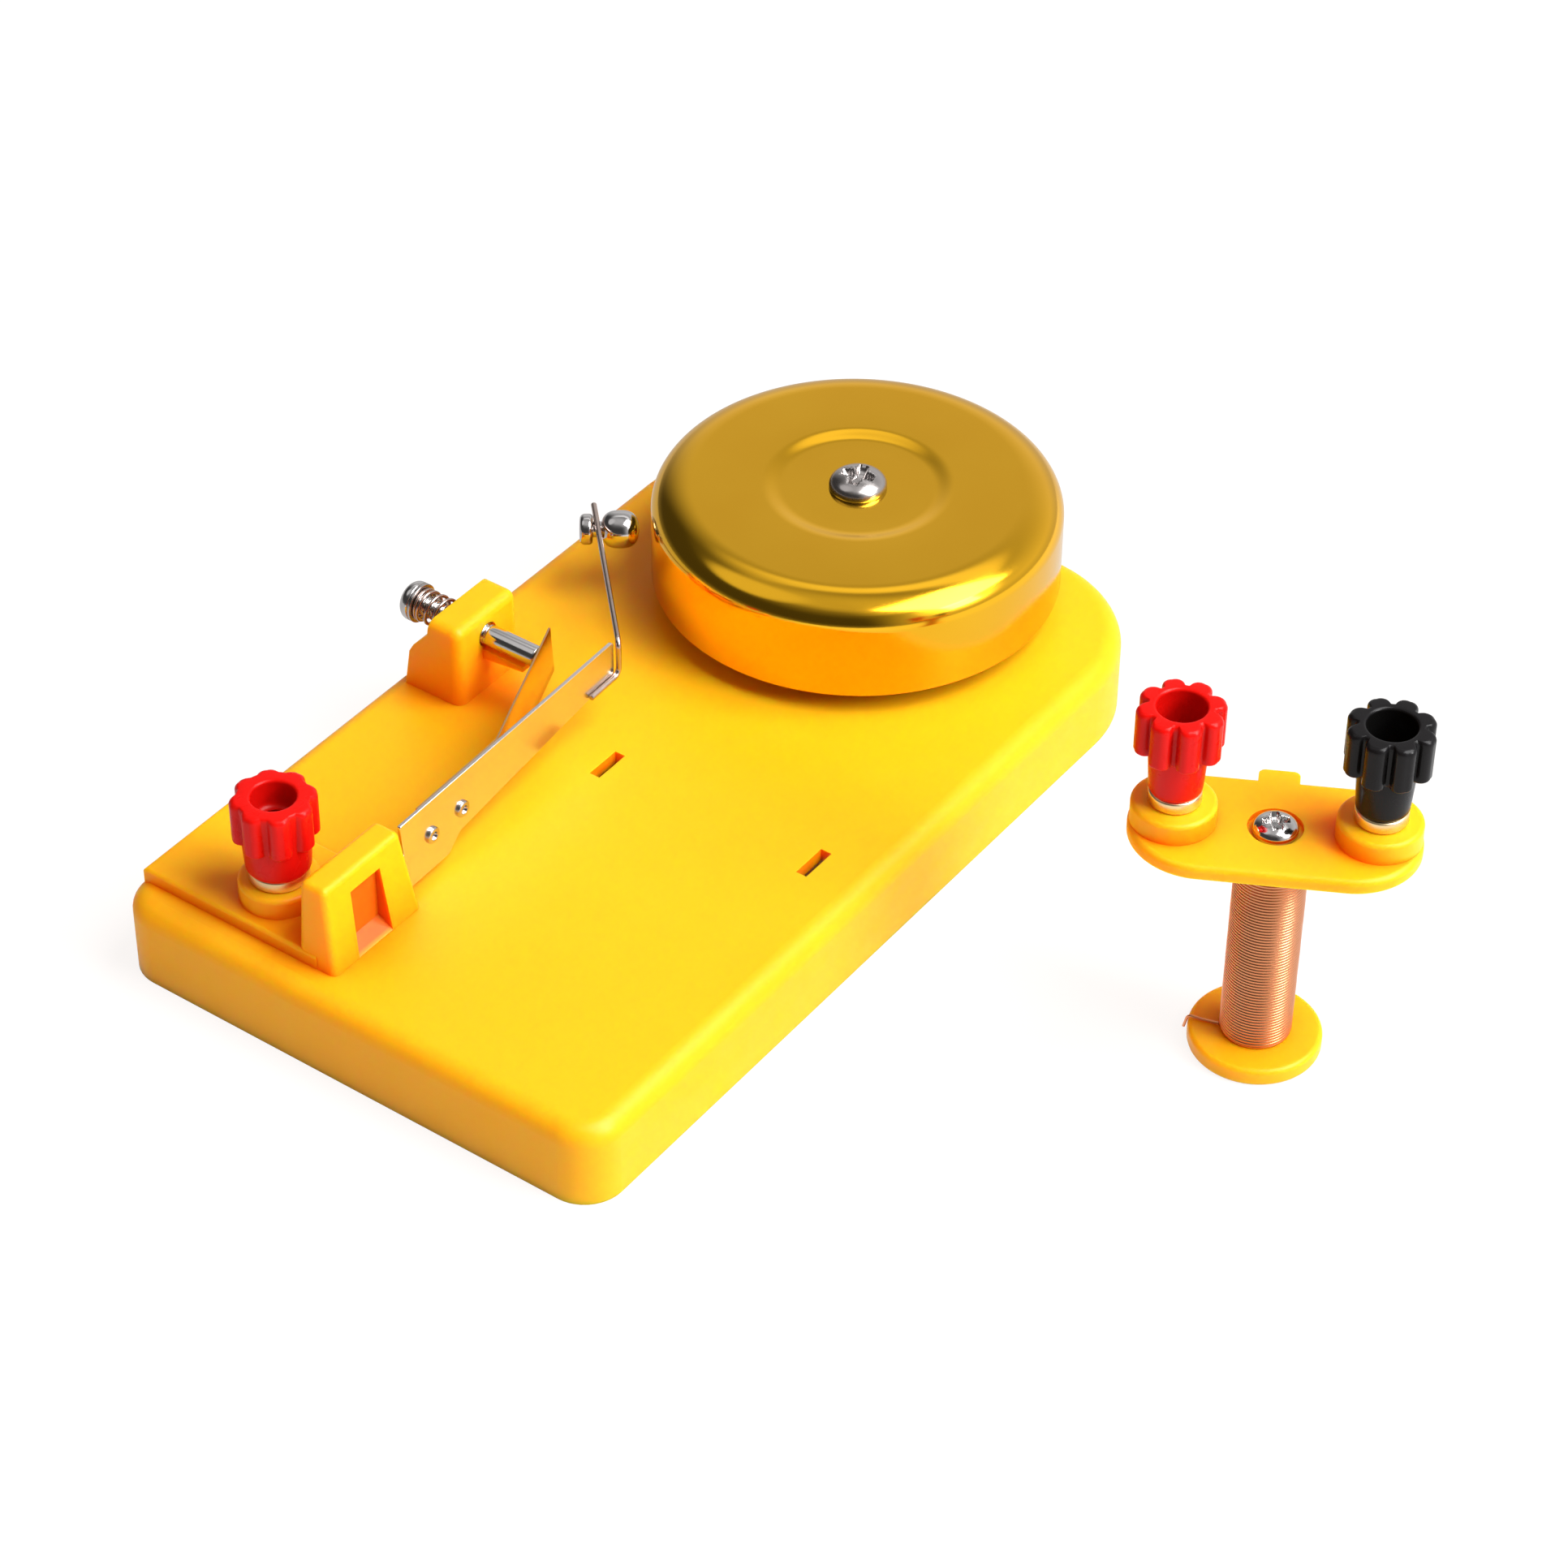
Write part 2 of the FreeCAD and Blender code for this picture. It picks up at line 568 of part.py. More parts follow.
def gong_mount():
    """The pillar, the washer under the gong, and the screws above and below."""
    washer_top = DISH_Z - GONG_SHEET
    pillar_top = washer_top - GONG_WASHER_THICKNESS
    thread = GONG_SCREW_DIAMETER + 2 * THREAD_FIT
    loose = GONG_SCREW_DIAMETER + 2 * ASSEMBLY_GAP
    pillar = ring(PILLAR_DIAMETER, thread, TOP_Z, pillar_top, GONG_X, GONG_Y)
    washer = ring(GONG_WASHER_DIAMETER, loose, pillar_top, washer_top, GONG_X, GONG_Y)
    screw = pan_head_screw(GONG_SCREW_DIAMETER, GONG_SCREW_LENGTH,
                           GONG_SCREW_HEAD_DIAMETER, GONG_SCREW_HEAD_HEIGHT)
    low_washer = ring(GONG_WASHER_DIAMETER, loose, CEILING_Z - PILLAR_SCREW_WASHER_THICKNESS,
                      CEILING_Z, GONG_X, GONG_Y)
    low_screw = pan_head_screw(GONG_SCREW_DIAMETER, PILLAR_SCREW_LENGTH,
                               GONG_SCREW_HEAD_DIAMETER, GONG_SCREW_HEAD_HEIGHT)
    low_screw_seat = (GONG_X, GONG_Y, CEILING_Z - PILLAR_SCREW_WASHER_THICKNESS)
    return {
        "gong_pillar": pillar,
        "gong_washer": washer,
        "gong_screw": placed(screw, GONG_X, GONG_Y, DISH_Z),
        "pillar_screw_washer": low_washer,
        "pillar_screw": aimed(low_screw, low_screw_seat, (0, 0, -1)),
    }


# ---- armature ----------------------------------------------------------------------------------
# The armature's own axes: x runs along the blade from the hinge line, y is the blade's back side.

def on_hinge(shape):
    """Set a shape from the armature's own axes into the bell."""
    return placed(shape, HINGE_X, HINGE_Y, 0, BLADE_ANGLE)


def armature_blade():
    """The spring steel blade, with its root tab."""
    lean = HOLDER_DRAFT_GONG_END / (HOLDER_TOP_Z - TOP_Z)
    face_x = HOLDER_GONG_END_X - HINGE_X
    foot_x = face_x - lean * (BLADE_FOOT_Z - TOP_Z) + BODY_GAP
    head_x = face_x - lean * (BLADE_TOP_Z - TOP_Z) + BODY_GAP
    half = BLADE_THICKNESS / 2
    outline = [(foot_x, BLADE_FOOT_Z), (BLADE_STEP_START, BLADE_FOOT_Z),
               (BLADE_STEP_END, BLADE_STEP_Z), (BLADE_LENGTH, BLADE_END_Z),
               (BLADE_LENGTH, BLADE_TOP_Z), (head_x, BLADE_TOP_Z)]
    blade = prism([(x, -half, z) for x, z in outline], Vector(0, BLADE_THICKNESS, 0))
    low, high = ROOT_TAB_Z
    tab = box(-ROOT_TAB_LENGTH, foot_x + 1, -half, half, low, high)
    blade = blade.fuse(tab).removeSplitter()
    for station in RIVET_STATIONS:
        blade = blade.cut(rivet_hole(station))
    return blade


def rivet_hole(station):
    """A cylinder across the blade at one rivet."""
    reach = BLADE_THICKNESS + CONTACT_THICKNESS + CUT_MARGIN
    return Part.makeCylinder(RIVET_DIAMETER / 2, 2 * reach, Vector(station, -reach, RIVET_Z),
                             Vector(0, 1, 0))


def rivets():
    """The two rivets that join the contact spring to the blade."""
    front = -BLADE_THICKNESS / 2
    back = BLADE_THICKNESS / 2 + CONTACT_THICKNESS
    solids = []
    for station in RIVET_STATIONS:
        shank = Part.makeCylinder(RIVET_DIAMETER / 2, back - front,
                                  Vector(station, front, RIVET_Z), Vector(0, 1, 0))
        heads = []
        for face, side in ((front, -1), (back, 1)):
            head = rod(RIVET_HEAD_DIAMETER, 0, RIVET_HEAD_HEIGHT)
            head = round_edges(head, RIVET_HEAD_HEIGHT * 0.7, at_height(RIVET_HEAD_HEIGHT))
            head = head.cut(rod(RIVET_DIMPLE_DIAMETER, RIVET_HEAD_HEIGHT - RIVET_DIMPLE_DEPTH,
                                RIVET_HEAD_HEIGHT + CUT_MARGIN))
            heads.append(aimed(head, (station, face, RIVET_Z), (0, side, 0)))
        solids.append(shank.fuse(heads).removeSplitter())
    return Part.makeCompound(solids)


def contact_spring():
    """The bronze leaf that lies on the blade's back, then stands off to meet the screw; its free
    end is cut at a slant."""
    low, high = CONTACT_Z
    face = BLADE_THICKNESS / 2
    slope = math.radians(CONTACT_BEND_ANGLE)
    thick = CONTACT_THICKNESS
    reach = Vector(math.cos(slope), math.sin(slope), 0) * CONTACT_REACH
    normal = Vector(-math.sin(slope), math.cos(slope), 0) * thick
    bend = Vector(CONTACT_BEND_STATION, face, 0)
    inner_bend = Vector(CONTACT_BEND_STATION - thick * math.tan(slope / 2), face + thick, 0)
    corners = [Vector(CONTACT_ROOT_START, face, 0), bend, bend + reach, bend + reach + normal,
               inner_bend, Vector(CONTACT_ROOT_START, face + thick, 0)]
    leaf = prism([(point.x, point.y, low) for point in corners], Vector(0, 0, high - low))
    along = reach.normalize()
    end = bend + along * CONTACT_REACH - normal * (CUT_MARGIN / 3 / thick)
    slant = along * CONTACT_END_SLANT
    past = Vector(0, 0, high) + along * CUT_MARGIN
    leaf = leaf.cut(prism([end + Vector(0, 0, low), end + Vector(0, 0, low) + along * CUT_MARGIN,
                           end + past, end - slant + Vector(0, 0, high)],
                          normal.normalize() * CUT_MARGIN))
    for station in RIVET_STATIONS:
        leaf = leaf.cut(rivet_hole(station))
    return leaf


def hammer_direction():
    """The way the hammer strikes: level, straight at the gong's axis."""
    return Vector(GONG_X - HAMMER_X, GONG_Y - HAMMER_Y, 0).normalize()


def hammer_length():
    return HAMMER_FLANGE_LENGTH + HAMMER_NECK_LENGTH + HAMMER_BODY_LENGTH


def hammer():
    """The hammer head: back flange, neck for the wire, and a body with a domed face."""
    neck_start = HAMMER_FLANGE_LENGTH
    body_start = neck_start + HAMMER_NECK_LENGTH
    end = hammer_length()
    head = rod(HAMMER_FLANGE_DIAMETER, 0, neck_start)
    head = round_edges(head, 0.5, at_height(0))
    body = rod(HAMMER_BODY_DIAMETER, body_start, end)
    dome = Part.makeSphere(HAMMER_DOME_RADIUS, Vector(0, 0, end - HAMMER_DOME_RADIUS))
    blunt = rod(HAMMER_BODY_DIAMETER, body_start, end - HAMMER_DOME_RADIUS)
    neck = rod(HAMMER_NECK_DIAMETER, neck_start, body_start)
    solid = head.fuse([neck, body.common(dome).fuse(blunt)]).removeSplitter()
    start = Vector(HAMMER_X, HAMMER_Y, HAMMER_Z) - hammer_direction() * (end / 2)
    return aimed(solid, start, hammer_direction())


def neck_point():
    """The point on top of the hammer's neck that the wire's centre line passes."""
    neck_middle = HAMMER_FLANGE_LENGTH + HAMMER_NECK_LENGTH / 2 - hammer_length() / 2
    rise = (HAMMER_NECK_DIAMETER + WIRE_DIAMETER) / 2 - WIRE_WELD_BITE
    return Vector(HAMMER_X, HAMMER_Y, HAMMER_Z + rise) + hammer_direction() * neck_middle


def hammer_wire():
    """The wire: a foot welded along the blade's end, a rise past its end and a straight arm."""
    side = -(BLADE_THICKNESS + WIRE_DIAMETER) / 2 + WIRE_WELD_BITE
    rise_x = BLADE_LENGTH + WIRE_DIAMETER / 2 + WIRE_RISE_GAP
    points = []
    for x, z in ((WIRE_FOOT_START, WIRE_FOOT_Z), (rise_x, WIRE_FOOT_Z), (rise_x, WIRE_RISE_Z)):
        plan = spun(x, side, BLADE_ANGLE)
        points.append(Vector(HINGE_X + plan[0], HINGE_Y + plan[1], z))
    neck = neck_point()
    arm = (neck - points[-1]).normalize()
    points.append(neck + arm * WIRE_TAIL)
    return bent_wire(points, WIRE_DIAMETER, WIRE_BEND_RADIUS)


# ---- contact screw -----------------------------------------------------------------------------

def contact_meeting_y():
    """Where the contact spring's back face crosses the screw's plane."""
    slope = BLADE_ANGLE + CONTACT_BEND_ANGLE
    face = BLADE_THICKNESS / 2
    bend = spun(CONTACT_BEND_STATION, face, BLADE_ANGLE)
    offset = spun(0, CONTACT_THICKNESS, slope)
    bend_x = HINGE_X + bend[0] + offset[0]
    bend_y = HINGE_Y + bend[1] + offset[1]
    return bend_y + (SCREW_X + SCREW_DIAMETER / 2 - bend_x) * math.tan(math.radians(slope))


def contact_screw_parts():
    """The contact screw, its threaded insert, its spring and the washer under its head."""
    tip_y = contact_meeting_y() + SCREW_TIP_GAP
    head_y = tip_y + SCREW_LENGTH
    screw = pan_head_screw(SCREW_DIAMETER, SCREW_LENGTH, SCREW_HEAD_DIAMETER, SCREW_HEAD_HEIGHT)
    insert = along_screw(INSERT_DIAMETER, TOWER_BACK_Y - INSERT_LENGTH, TOWER_BACK_Y)
    insert = insert.cut(along_screw(SCREW_DIAMETER + 2 * RUNNING_FIT, TOWER_FRONT_Y,
                                    TOWER_BACK_Y + CUT_MARGIN))
    washer_y = head_y - SPRING_WASHER_THICKNESS - SPRING_SEAT_GAP
    washer = along_screw(SCREW_HEAD_DIAMETER, washer_y, washer_y + SPRING_WASHER_THICKNESS)
    washer = washer.cut(along_screw(SCREW_DIAMETER + 2 * RUNNING_FIT, washer_y - CUT_MARGIN,
                                    washer_y + CUT_MARGIN))
    spring_start = TOWER_BACK_Y + SPRING_SEAT_GAP + SPRING_WIRE / 2
    spring_end = washer_y - SPRING_SEAT_GAP - SPRING_WIRE / 2
    return {
        "contact_screw": aimed(screw, (SCREW_X, head_y, SCREW_Z), (0, 1, 0)),
        "screw_insert": insert,
        "screw_washer": washer,
        "screw_spring": aimed(coil_spring(spring_end - spring_start),
                              (SCREW_X, spring_start, SCREW_Z), (0, 1, 0)),
    }


def coil_spring(height):
    """A compression spring of round wire, from z = 0 to a height between its wire's centres.  Its
    path is one helix edge for each half turn."""
    mean_radius = (SPRING_DIAMETER - SPRING_WIRE) / 2
    pitch = height / SPRING_TURNS
    edges = []
    for half_turn in range(round(2 * SPRING_TURNS)):
        arc = Part.makeHelix(pitch, pitch / 2, mean_radius)
        edges += placed(arc, 0, 0, half_turn * pitch / 2, 180.0 * half_turn).Edges
    start_direction = Vector(0, 2 * math.pi * mean_radius, pitch)
    section = Part.Wire([Part.makeCircle(SPRING_WIRE / 2, Vector(mean_radius, 0, 0),
                                         start_direction)])
    return Part.Wire(edges).makePipeShell([section], True, True)


# ---- binding posts -----------------------------------------------------------------------------
# A post's own axes: z = 0 is the top of its boss; wall is what lies between the boss's top and the
# tag under it.

def binding_post(name, wall, size):
    """The fixed pieces of a binding post, and its insert and cap."""
    barrel_z = COLLAR_HEIGHT
    barrel_top = barrel_z + STUD_BARREL_HEIGHT
    nut_top = -wall - TAG_THICKNESS
    shank_end = nut_top - POST_NUT_HEIGHT - STUD_SHANK_TAIL
    socket = rod(SOCKET_DIAMETER, barrel_top - SOCKET_DEPTH, barrel_top + CUT_MARGIN)
    stud = rod(STUD_BARREL_DIAMETER, barrel_z, barrel_top)
    stud = stud.cut(socket).fuse(rod(STUD_SHANK_DIAMETER, shank_end, barrel_z)).removeSplitter()
    loose = STUD_SHANK_DIAMETER + 2 * ASSEMBLY_GAP
    collar = ring(size["collar"], loose, 0, barrel_z)
    return {
        name + "_stud": stud,
        name + "_collar": round_edges(collar, COLLAR_EDGE_RADIUS,
                                      lambda bound: bound.XLength > size["collar"] - 1),
        name + "_nut": hex_nut(nut_top - POST_NUT_HEIGHT, nut_top),
        name + "_tag": solder_tag(nut_top),
        name + "_insert": cap_insert(barrel_z),
        name + "_cap": placed(cap(barrel_z + CAP_SEAT_GAP, size), 0, 0, 0, CAP_TURNS[name]),
    }


def hex_nut(z0, z1):
    """A hexagon nut between two heights."""
    radius = POST_NUT_ACROSS_FLATS / math.sqrt(3)
    corners = []
    for corner in range(6):
        x, y = spun(radius, 0, 60 * corner)
        corners.append((x, y, z0))
    bore = rod(STUD_SHANK_DIAMETER + 2 * THREAD_FIT, z0 - CUT_MARGIN, z1 + CUT_MARGIN)
    return prism(corners, Vector(0, 0, z1 - z0)).cut(bore)


def solder_tag(z):
    """A ring tag with a tail towards -Y, standing on a height."""
    top = z + TAG_THICKNESS
    tail = box(-TAG_TAIL_WIDTH / 2, TAG_TAIL_WIDTH / 2, -TAG_TAIL_REACH, 0, z, top)
    hole = rod(STUD_SHANK_DIAMETER + 2 * ASSEMBLY_GAP, z - CUT_MARGIN, top + CUT_MARGIN)
    return rod(TAG_RING_DIAMETER, z, top).fuse(tail).cut(hole).removeSplitter()


def cap_insert(z):
    """The threaded brass bush inside a cap, seated just above the collar."""
    inner = STUD_BARREL_DIAMETER + 2 * RUNNING_FIT
    start = z + 2 * CAP_SEAT_GAP
    end = z + CAP_SEAT_GAP + CAP_BORE_DEPTH - CAP_SEAT_GAP
    return ring(inner + 2 * CAP_INSERT_WALL, inner, start, end)


def cap_rib(z0, z1, size):
    """One rib of a cap's grip, on +X, with rounded outer corners and a rounded top."""
    inner = size["recess"] / 2
    outer = size["grip"] / 2
    rib = box(inner, outer, -CAP_RIB_WIDTH / 2, CAP_RIB_WIDTH / 2, z0, z1)
    rib = round_edges(rib, CAP_RIB_RADIUS,
                      lambda bound: bound.ZLength > 1 and bound.XMin > outer - 0.01)
    return round_edges(rib, CAP_EDGE_RADIUS,
                       lambda bound: at_height(z1)(bound) and bound.XMax > inner + 0.01)


def cap(z, size):
    """The cap: tapered body, ribbed grip, bore for the bush, floor with a plug hole, recess."""
    top = z + size["height"]
    body = Part.makeCone(size["foot"] / 2, size["head"] / 2, size["height"], Vector(0, 0, z))
    body = round_edges(body, CAP_EDGE_RADIUS, at_height(top))
    ribs = []
    for index in range(CAP_RIBS):
        rib = cap_rib(top - CAP_GRIP_HEIGHT, top, size)
        ribs.append(placed(rib, 0, 0, 0, 360.0 * index / CAP_RIBS))
    bore = rod(CAP_BORE_DIAMETER, z - CUT_MARGIN, z + CAP_BORE_DEPTH)
    plug_hole = rod(CAP_PLUG_HOLE_DIAMETER, z, top)
    recess = rod(size["recess"], z + CAP_BORE_DEPTH + CAP_FLOOR, top + CUT_MARGIN)
    return body.fuse(ribs).cut([bore, plug_hole, recess]).removeSplitter()


def base_post():
    """The binding post on the base; its tag points at the strip holder."""
    wall = BASE_BOSS_TOP_Z - STEP_CEILING_Z
    nodes = binding_post("base_post", wall, BASE_CAP)
    return {name: placed(shape, BASE_POST_X, BASE_POST_Y, BASE_BOSS_TOP_Z)
            for name, shape in nodes.items()}


# ---- link wire ---------------------------------------------------------------------------------

def link_end_plan():
    """The plan position under the middle of the armature's root tab."""
    x, y = spun(-ROOT_TAB_LENGTH / 2, 0, BLADE_ANGLE)
    return HINGE_X + x, HINGE_Y + y


def link_wire():
    """The bare link from the base post's tag, under the base's top, up to the armature's root."""
    tag_under = STEP_CEILING_Z - TAG_THICKNESS - LINK_DIAMETER / 2
    x1, y1 = link_end_plan()
    start_y = BASE_POST_Y - TAG_RING_DIAMETER / 2 + 0.3
    turn_y = BASE_POST_Y - TAG_TAIL_REACH + 1.0
    points = [(BASE_POST_X, start_y, tag_under), (BASE_POST_X, turn_y, tag_under),
              (BASE_POST_X, turn_y - 1.6, LINK_DROP_Z), (x1, y1, LINK_DROP_Z),
              (x1, y1, ROOT_TAB_Z[0] - BODY_GAP)]
    return bent_wire(points, LINK_DIAMETER, LINK_BEND_RADIUS)


# ---- electromagnet -----------------------------------------------------------------------------
# The electromagnet's own axes: z is its core's axis, x runs from the red post to the black one,
# and y points at the tabs.

def on_magnet(shape):
    """Set a shape from the electromagnet's own axes into the part."""
    return placed(shape, MAGNET_X, MAGNET_Y, 0, MAGNET_TURN)


def bobbin():
    """The bobbin moulding: terminal plate with bosses and tab, tube, and flange with tab."""
    half_length = PLATE_LENGTH / 2
    half_width = PLATE_WIDTH / 2
    end_radius = half_width - 0.01
    plate = rounded_slab(-half_length, half_length, -half_width, half_width,
                         end_radius, end_radius, PLATE_BOTTOM_Z, PLATE_TOP_Z)
    plate = round_edges(plate, PLATE_EDGE_RADIUS, at_height(PLATE_TOP_Z))
    flange = rod(FLANGE_DIAMETER, 0, FLANGE_THICKNESS)
    flange = round_edges(flange, FLANGE_EDGE_RADIUS, lambda bound: bound.ZLength < 0.01)
    tube = rod(BOBBIN_TUBE_DIAMETER, FLANGE_THICKNESS / 2, PLATE_BOTTOM_Z + 0.5)
    pieces = [flange, tube]
    for middle in (TAB_MIDDLE_Z - SLOT_PITCH, TAB_MIDDLE_Z):
        tab = box(-TAB_WIDTH / 2, TAB_WIDTH / 2, 0, TAB_REACH,
                  middle - TAB_THICKNESS / 2, middle + TAB_THICKNESS / 2)
        pieces.append(round_edges(tab, TAB_CORNER_RADIUS,
                                  lambda bound: bound.ZLength > 1 and bound.YMin > 1))
    for side in (-1, 1):
        boss = rod(BOSS_DIAMETER, PLATE_BOTTOM_Z + 0.5, PLATE_BOSS_TOP_Z, side * POST_SPACING / 2)
        pieces.append(round_edges(boss, BOSS_EDGE_RADIUS, at_height(PLATE_BOSS_TOP_Z)))
    solid = plate.fuse(pieces)
    core_bore = rod(CORE_DIAMETER + 2 * RUNNING_FIT, -CUT_MARGIN, PLATE_BOTTOM_Z)
    screw_hole = rod(CORE_SCREW_DIAMETER + 2 * ASSEMBLY_GAP, 0, PLATE_TOP_Z + CUT_MARGIN)
    recess = rod(CORE_RECESS_DIAMETER, PLATE_TOP_Z - CORE_RECESS_DEPTH, PLATE_TOP_Z + CUT_MARGIN)
    cutters = [core_bore, screw_hole, recess]
    for side in (-1, 1):
        cutters.append(rod(STUD_SHANK_DIAMETER + 2 * ASSEMBLY_GAP, PLATE_BOTTOM_Z - CUT_MARGIN,
                           PLATE_BOSS_TOP_Z + CUT_MARGIN, side * POST_SPACING / 2))
    return solid.cut(cutters).removeSplitter()


def core_parts():
    """The iron core with its tapped end, and the screw that holds it."""
    seat_z = PLATE_TOP_Z - CORE_RECESS_DEPTH
    screw_end = seat_z - CORE_SCREW_LENGTH
    core = rod(CORE_DIAMETER, 0, PLATE_BOTTOM_Z)
    tapped = rod(CORE_SCREW_DIAMETER + 2 * THREAD_FIT, screw_end - CUT_MARGIN,
                 PLATE_BOTTOM_Z + CUT_MARGIN)
    screw = pan_head_screw(CORE_SCREW_DIAMETER, CORE_SCREW_LENGTH,
                           CORE_SCREW_HEAD_DIAMETER, CORE_SCREW_HEAD_HEIGHT)
    return {"iron_core": core.cut(tapped), "core_screw": placed(screw, 0, 0, seat_z)}


def coil_top_z():
    """The top of the winding, with room above it for the leads."""
    return PLATE_BOTTOM_Z - LEAD_DIAMETER - 2 * ASSEMBLY_GAP


def coil():
    """The copper winding as one sleeve with rounded ends."""
    bottom = FLANGE_THICKNESS + ASSEMBLY_GAP
    top = coil_top_z()
    sleeve = rod(COIL_DIAMETER, bottom, top)
    sleeve = round_edges(sleeve, COIL_END_RADIUS, lambda bound: bound.ZLength < 0.01)
    return sleeve.cut(rod(BOBBIN_TUBE_DIAMETER + 2 * RUNNING_FIT, 0, top + CUT_MARGIN))


def coil_leads():
    """The winding's two ends, run under the plate to the tags, and the snipped tail below."""
    lead_z = PLATE_BOTTOM_Z - ASSEMBLY_GAP - LEAD_DIAMETER / 2
    inner = (BOBBIN_TUBE_DIAMETER + COIL_DIAMETER) / 4
    outer = POST_SPACING / 2 - TAG_TAIL_REACH - ASSEMBLY_GAP
    leads = []
    for side in (-1, 1):
        lead = Part.makeCylinder(LEAD_DIAMETER / 2, outer - inner,
                                 Vector(side * inner, 0, lead_z), Vector(side, 0, 0))
        leads.append(lead)
    tail_z = FLANGE_THICKNESS + ASSEMBLY_GAP + LEAD_DIAMETER / 2
    tail_start = COIL_DIAMETER / 2
    tail_end = FLANGE_DIAMETER / 2 + LEAD_TAIL_OVERHANG
    leads.append(Part.makeCylinder(LEAD_DIAMETER / 2, tail_end - tail_start,
                                   Vector(-tail_start, 0, tail_z), Vector(-1, 0, 0)))
    return Part.makeCompound(leads)


def electromagnet():
    """Every piece of the electromagnet, its two binding posts included."""
    nodes = {"bobbin": bobbin(), "coil": coil(), "coil_leads": coil_leads()}
    nodes.update(core_parts())
    wall = PLATE_BOSS_TOP_Z - PLATE_BOTTOM_Z
    for name, side in (("red_post", -1), ("black_post", 1)):
        for node, shape in binding_post(name, wall, MAGNET_CAP).items():
            nodes[node] = placed(shape, side * POST_SPACING / 2, 0, PLATE_BOSS_TOP_Z, -90 * side)
    return {name: on_magnet(shape) for name, shape in nodes.items()}


# ---- the whole part ----------------------------------------------------------------------------

def main():
    os.makedirs("parts", exist_ok=True)
    nodes = {
        "base_shell": base_shell(),
        "gong": gong(),
        "armature_blade": on_hinge(armature_blade()),
        "armature_rivets": on_hinge(rivets()),
        "contact_spring": on_hinge(contact_spring()),
        "hammer_wire": hammer_wire(),
        "hammer": hammer(),
        "link_wire": link_wire(),
    }
    nodes.update(gong_mount())
    nodes.update(contact_screw_parts())
    nodes.update(base_post())
    nodes.update(electromagnet())
    save(nodes)


main()
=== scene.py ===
import json
import math

import bmesh
import bpy
import numpy as np
from mathutils import Matrix, Vector


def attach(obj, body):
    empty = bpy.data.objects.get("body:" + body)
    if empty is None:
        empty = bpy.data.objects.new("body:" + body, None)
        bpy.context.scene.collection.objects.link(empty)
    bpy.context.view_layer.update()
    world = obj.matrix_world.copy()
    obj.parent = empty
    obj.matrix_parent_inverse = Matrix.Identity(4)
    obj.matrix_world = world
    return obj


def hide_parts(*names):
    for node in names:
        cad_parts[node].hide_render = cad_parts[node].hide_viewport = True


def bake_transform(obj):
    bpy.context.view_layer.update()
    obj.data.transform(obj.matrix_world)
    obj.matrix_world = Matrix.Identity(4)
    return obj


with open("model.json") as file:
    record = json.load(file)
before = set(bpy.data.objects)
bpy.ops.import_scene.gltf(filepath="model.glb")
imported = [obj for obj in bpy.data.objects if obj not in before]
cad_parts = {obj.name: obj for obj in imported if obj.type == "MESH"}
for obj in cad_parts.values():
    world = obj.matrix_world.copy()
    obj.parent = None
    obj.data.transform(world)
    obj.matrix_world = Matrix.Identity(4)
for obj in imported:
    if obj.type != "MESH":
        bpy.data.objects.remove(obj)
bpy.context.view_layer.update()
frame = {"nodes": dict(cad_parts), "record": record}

# Looks of the electric bell demonstrator, dressed over its solids: gong, interrupter and binding
# posts on a moulded base, and the electromagnet beside it.  Sizes are in mm in the solids' own
# frame (+X towards the gong, +Y towards the contact screw, +Z up) and become metres in the mesh.

MM = 0.001

# ---- places and sizes, as in the solids --------------------------------------------------------
GONG_AXIS = (43.3, -0.5)
GONG_RADIUS = 28.4
GONG_SHEET = 1.0
GONG_TOP_Z = 29.9
GONG_RIM_Z = 15.2
GONG_SEAT_Z = 29.1
PILLAR_SCREW_SEAT_Z = 9.3
DECK_Z = 12.1
WINDOW_MIDDLE_X = -53.5
HINGE = (-45.3, 7.8)
BLADE_ANGLE = 1.75
BLADE_THICKNESS = 0.5
LEAF_THICKNESS = 0.3
RIVET_STATIONS = (6.0, 12.3)
RIVET_Z = 19.4
HAMMER_CENTRE = (23.1, 27.0, 22.0)
HAMMER_DIRECTION = (0.59200, -0.80594, 0.0)
HAMMER_LENGTH = 8.2
HAMMER_NECK = (22.0640, 28.4104, 23.5)
WIRE_FOOT = (-5.299, 8.372, 19.4)
WIRE_BEND = (1.048, 8.566, 19.4)
WIRE_TOP = (1.048, 8.566, 24.8)
SCREW_AXIS = (-4.0, 20.8)
SCREW_HEAD_SEAT_Y = 38.66
SPRING_ENDS_Y = (31.87, 38.06)
WASHER_Y = 38.11
BASE_POST = (-54.7, 20.2, 17.1)
RED_POST = (2.625, -76.105, 38.8)
BLACK_POST = (14.455, -98.355, 38.8)
COLLAR_HEIGHT = 1.8
CAP_SEAT_GAP = 0.1
MAGNET_AXIS = (8.54, -87.23)
MAGNET_TURN = -62.0
CORE_SCREW_SEAT_Z = 35.1

# ---- camera ------------------------------------------------------------------------------------
CAMERA_AZIMUTH = -144.62
CAMERA_ELEVATION = 39.92
CAMERA_ROLL = 0.61
CAMERA_TARGET = (14.39, -9.15, 0.0)
CAMERA_DISTANCE = 608.9
FOCAL_PIXELS = 5508.0
FRAME_PIXELS = 1932.0
SENSOR_WIDTH = 36.0

# ---- the studio that metal mirrors: ways to its walls, its window and its lit screen -----------
BRIGHT_WALLS = (0.848, -0.530, 0.0)
PALE_WINDOW = (-0.294, 0.420, 0.859)
LIT_SCREEN = (0.088, -0.834, 0.545)


# ---- shapes ------------------------------------------------------------------------------------

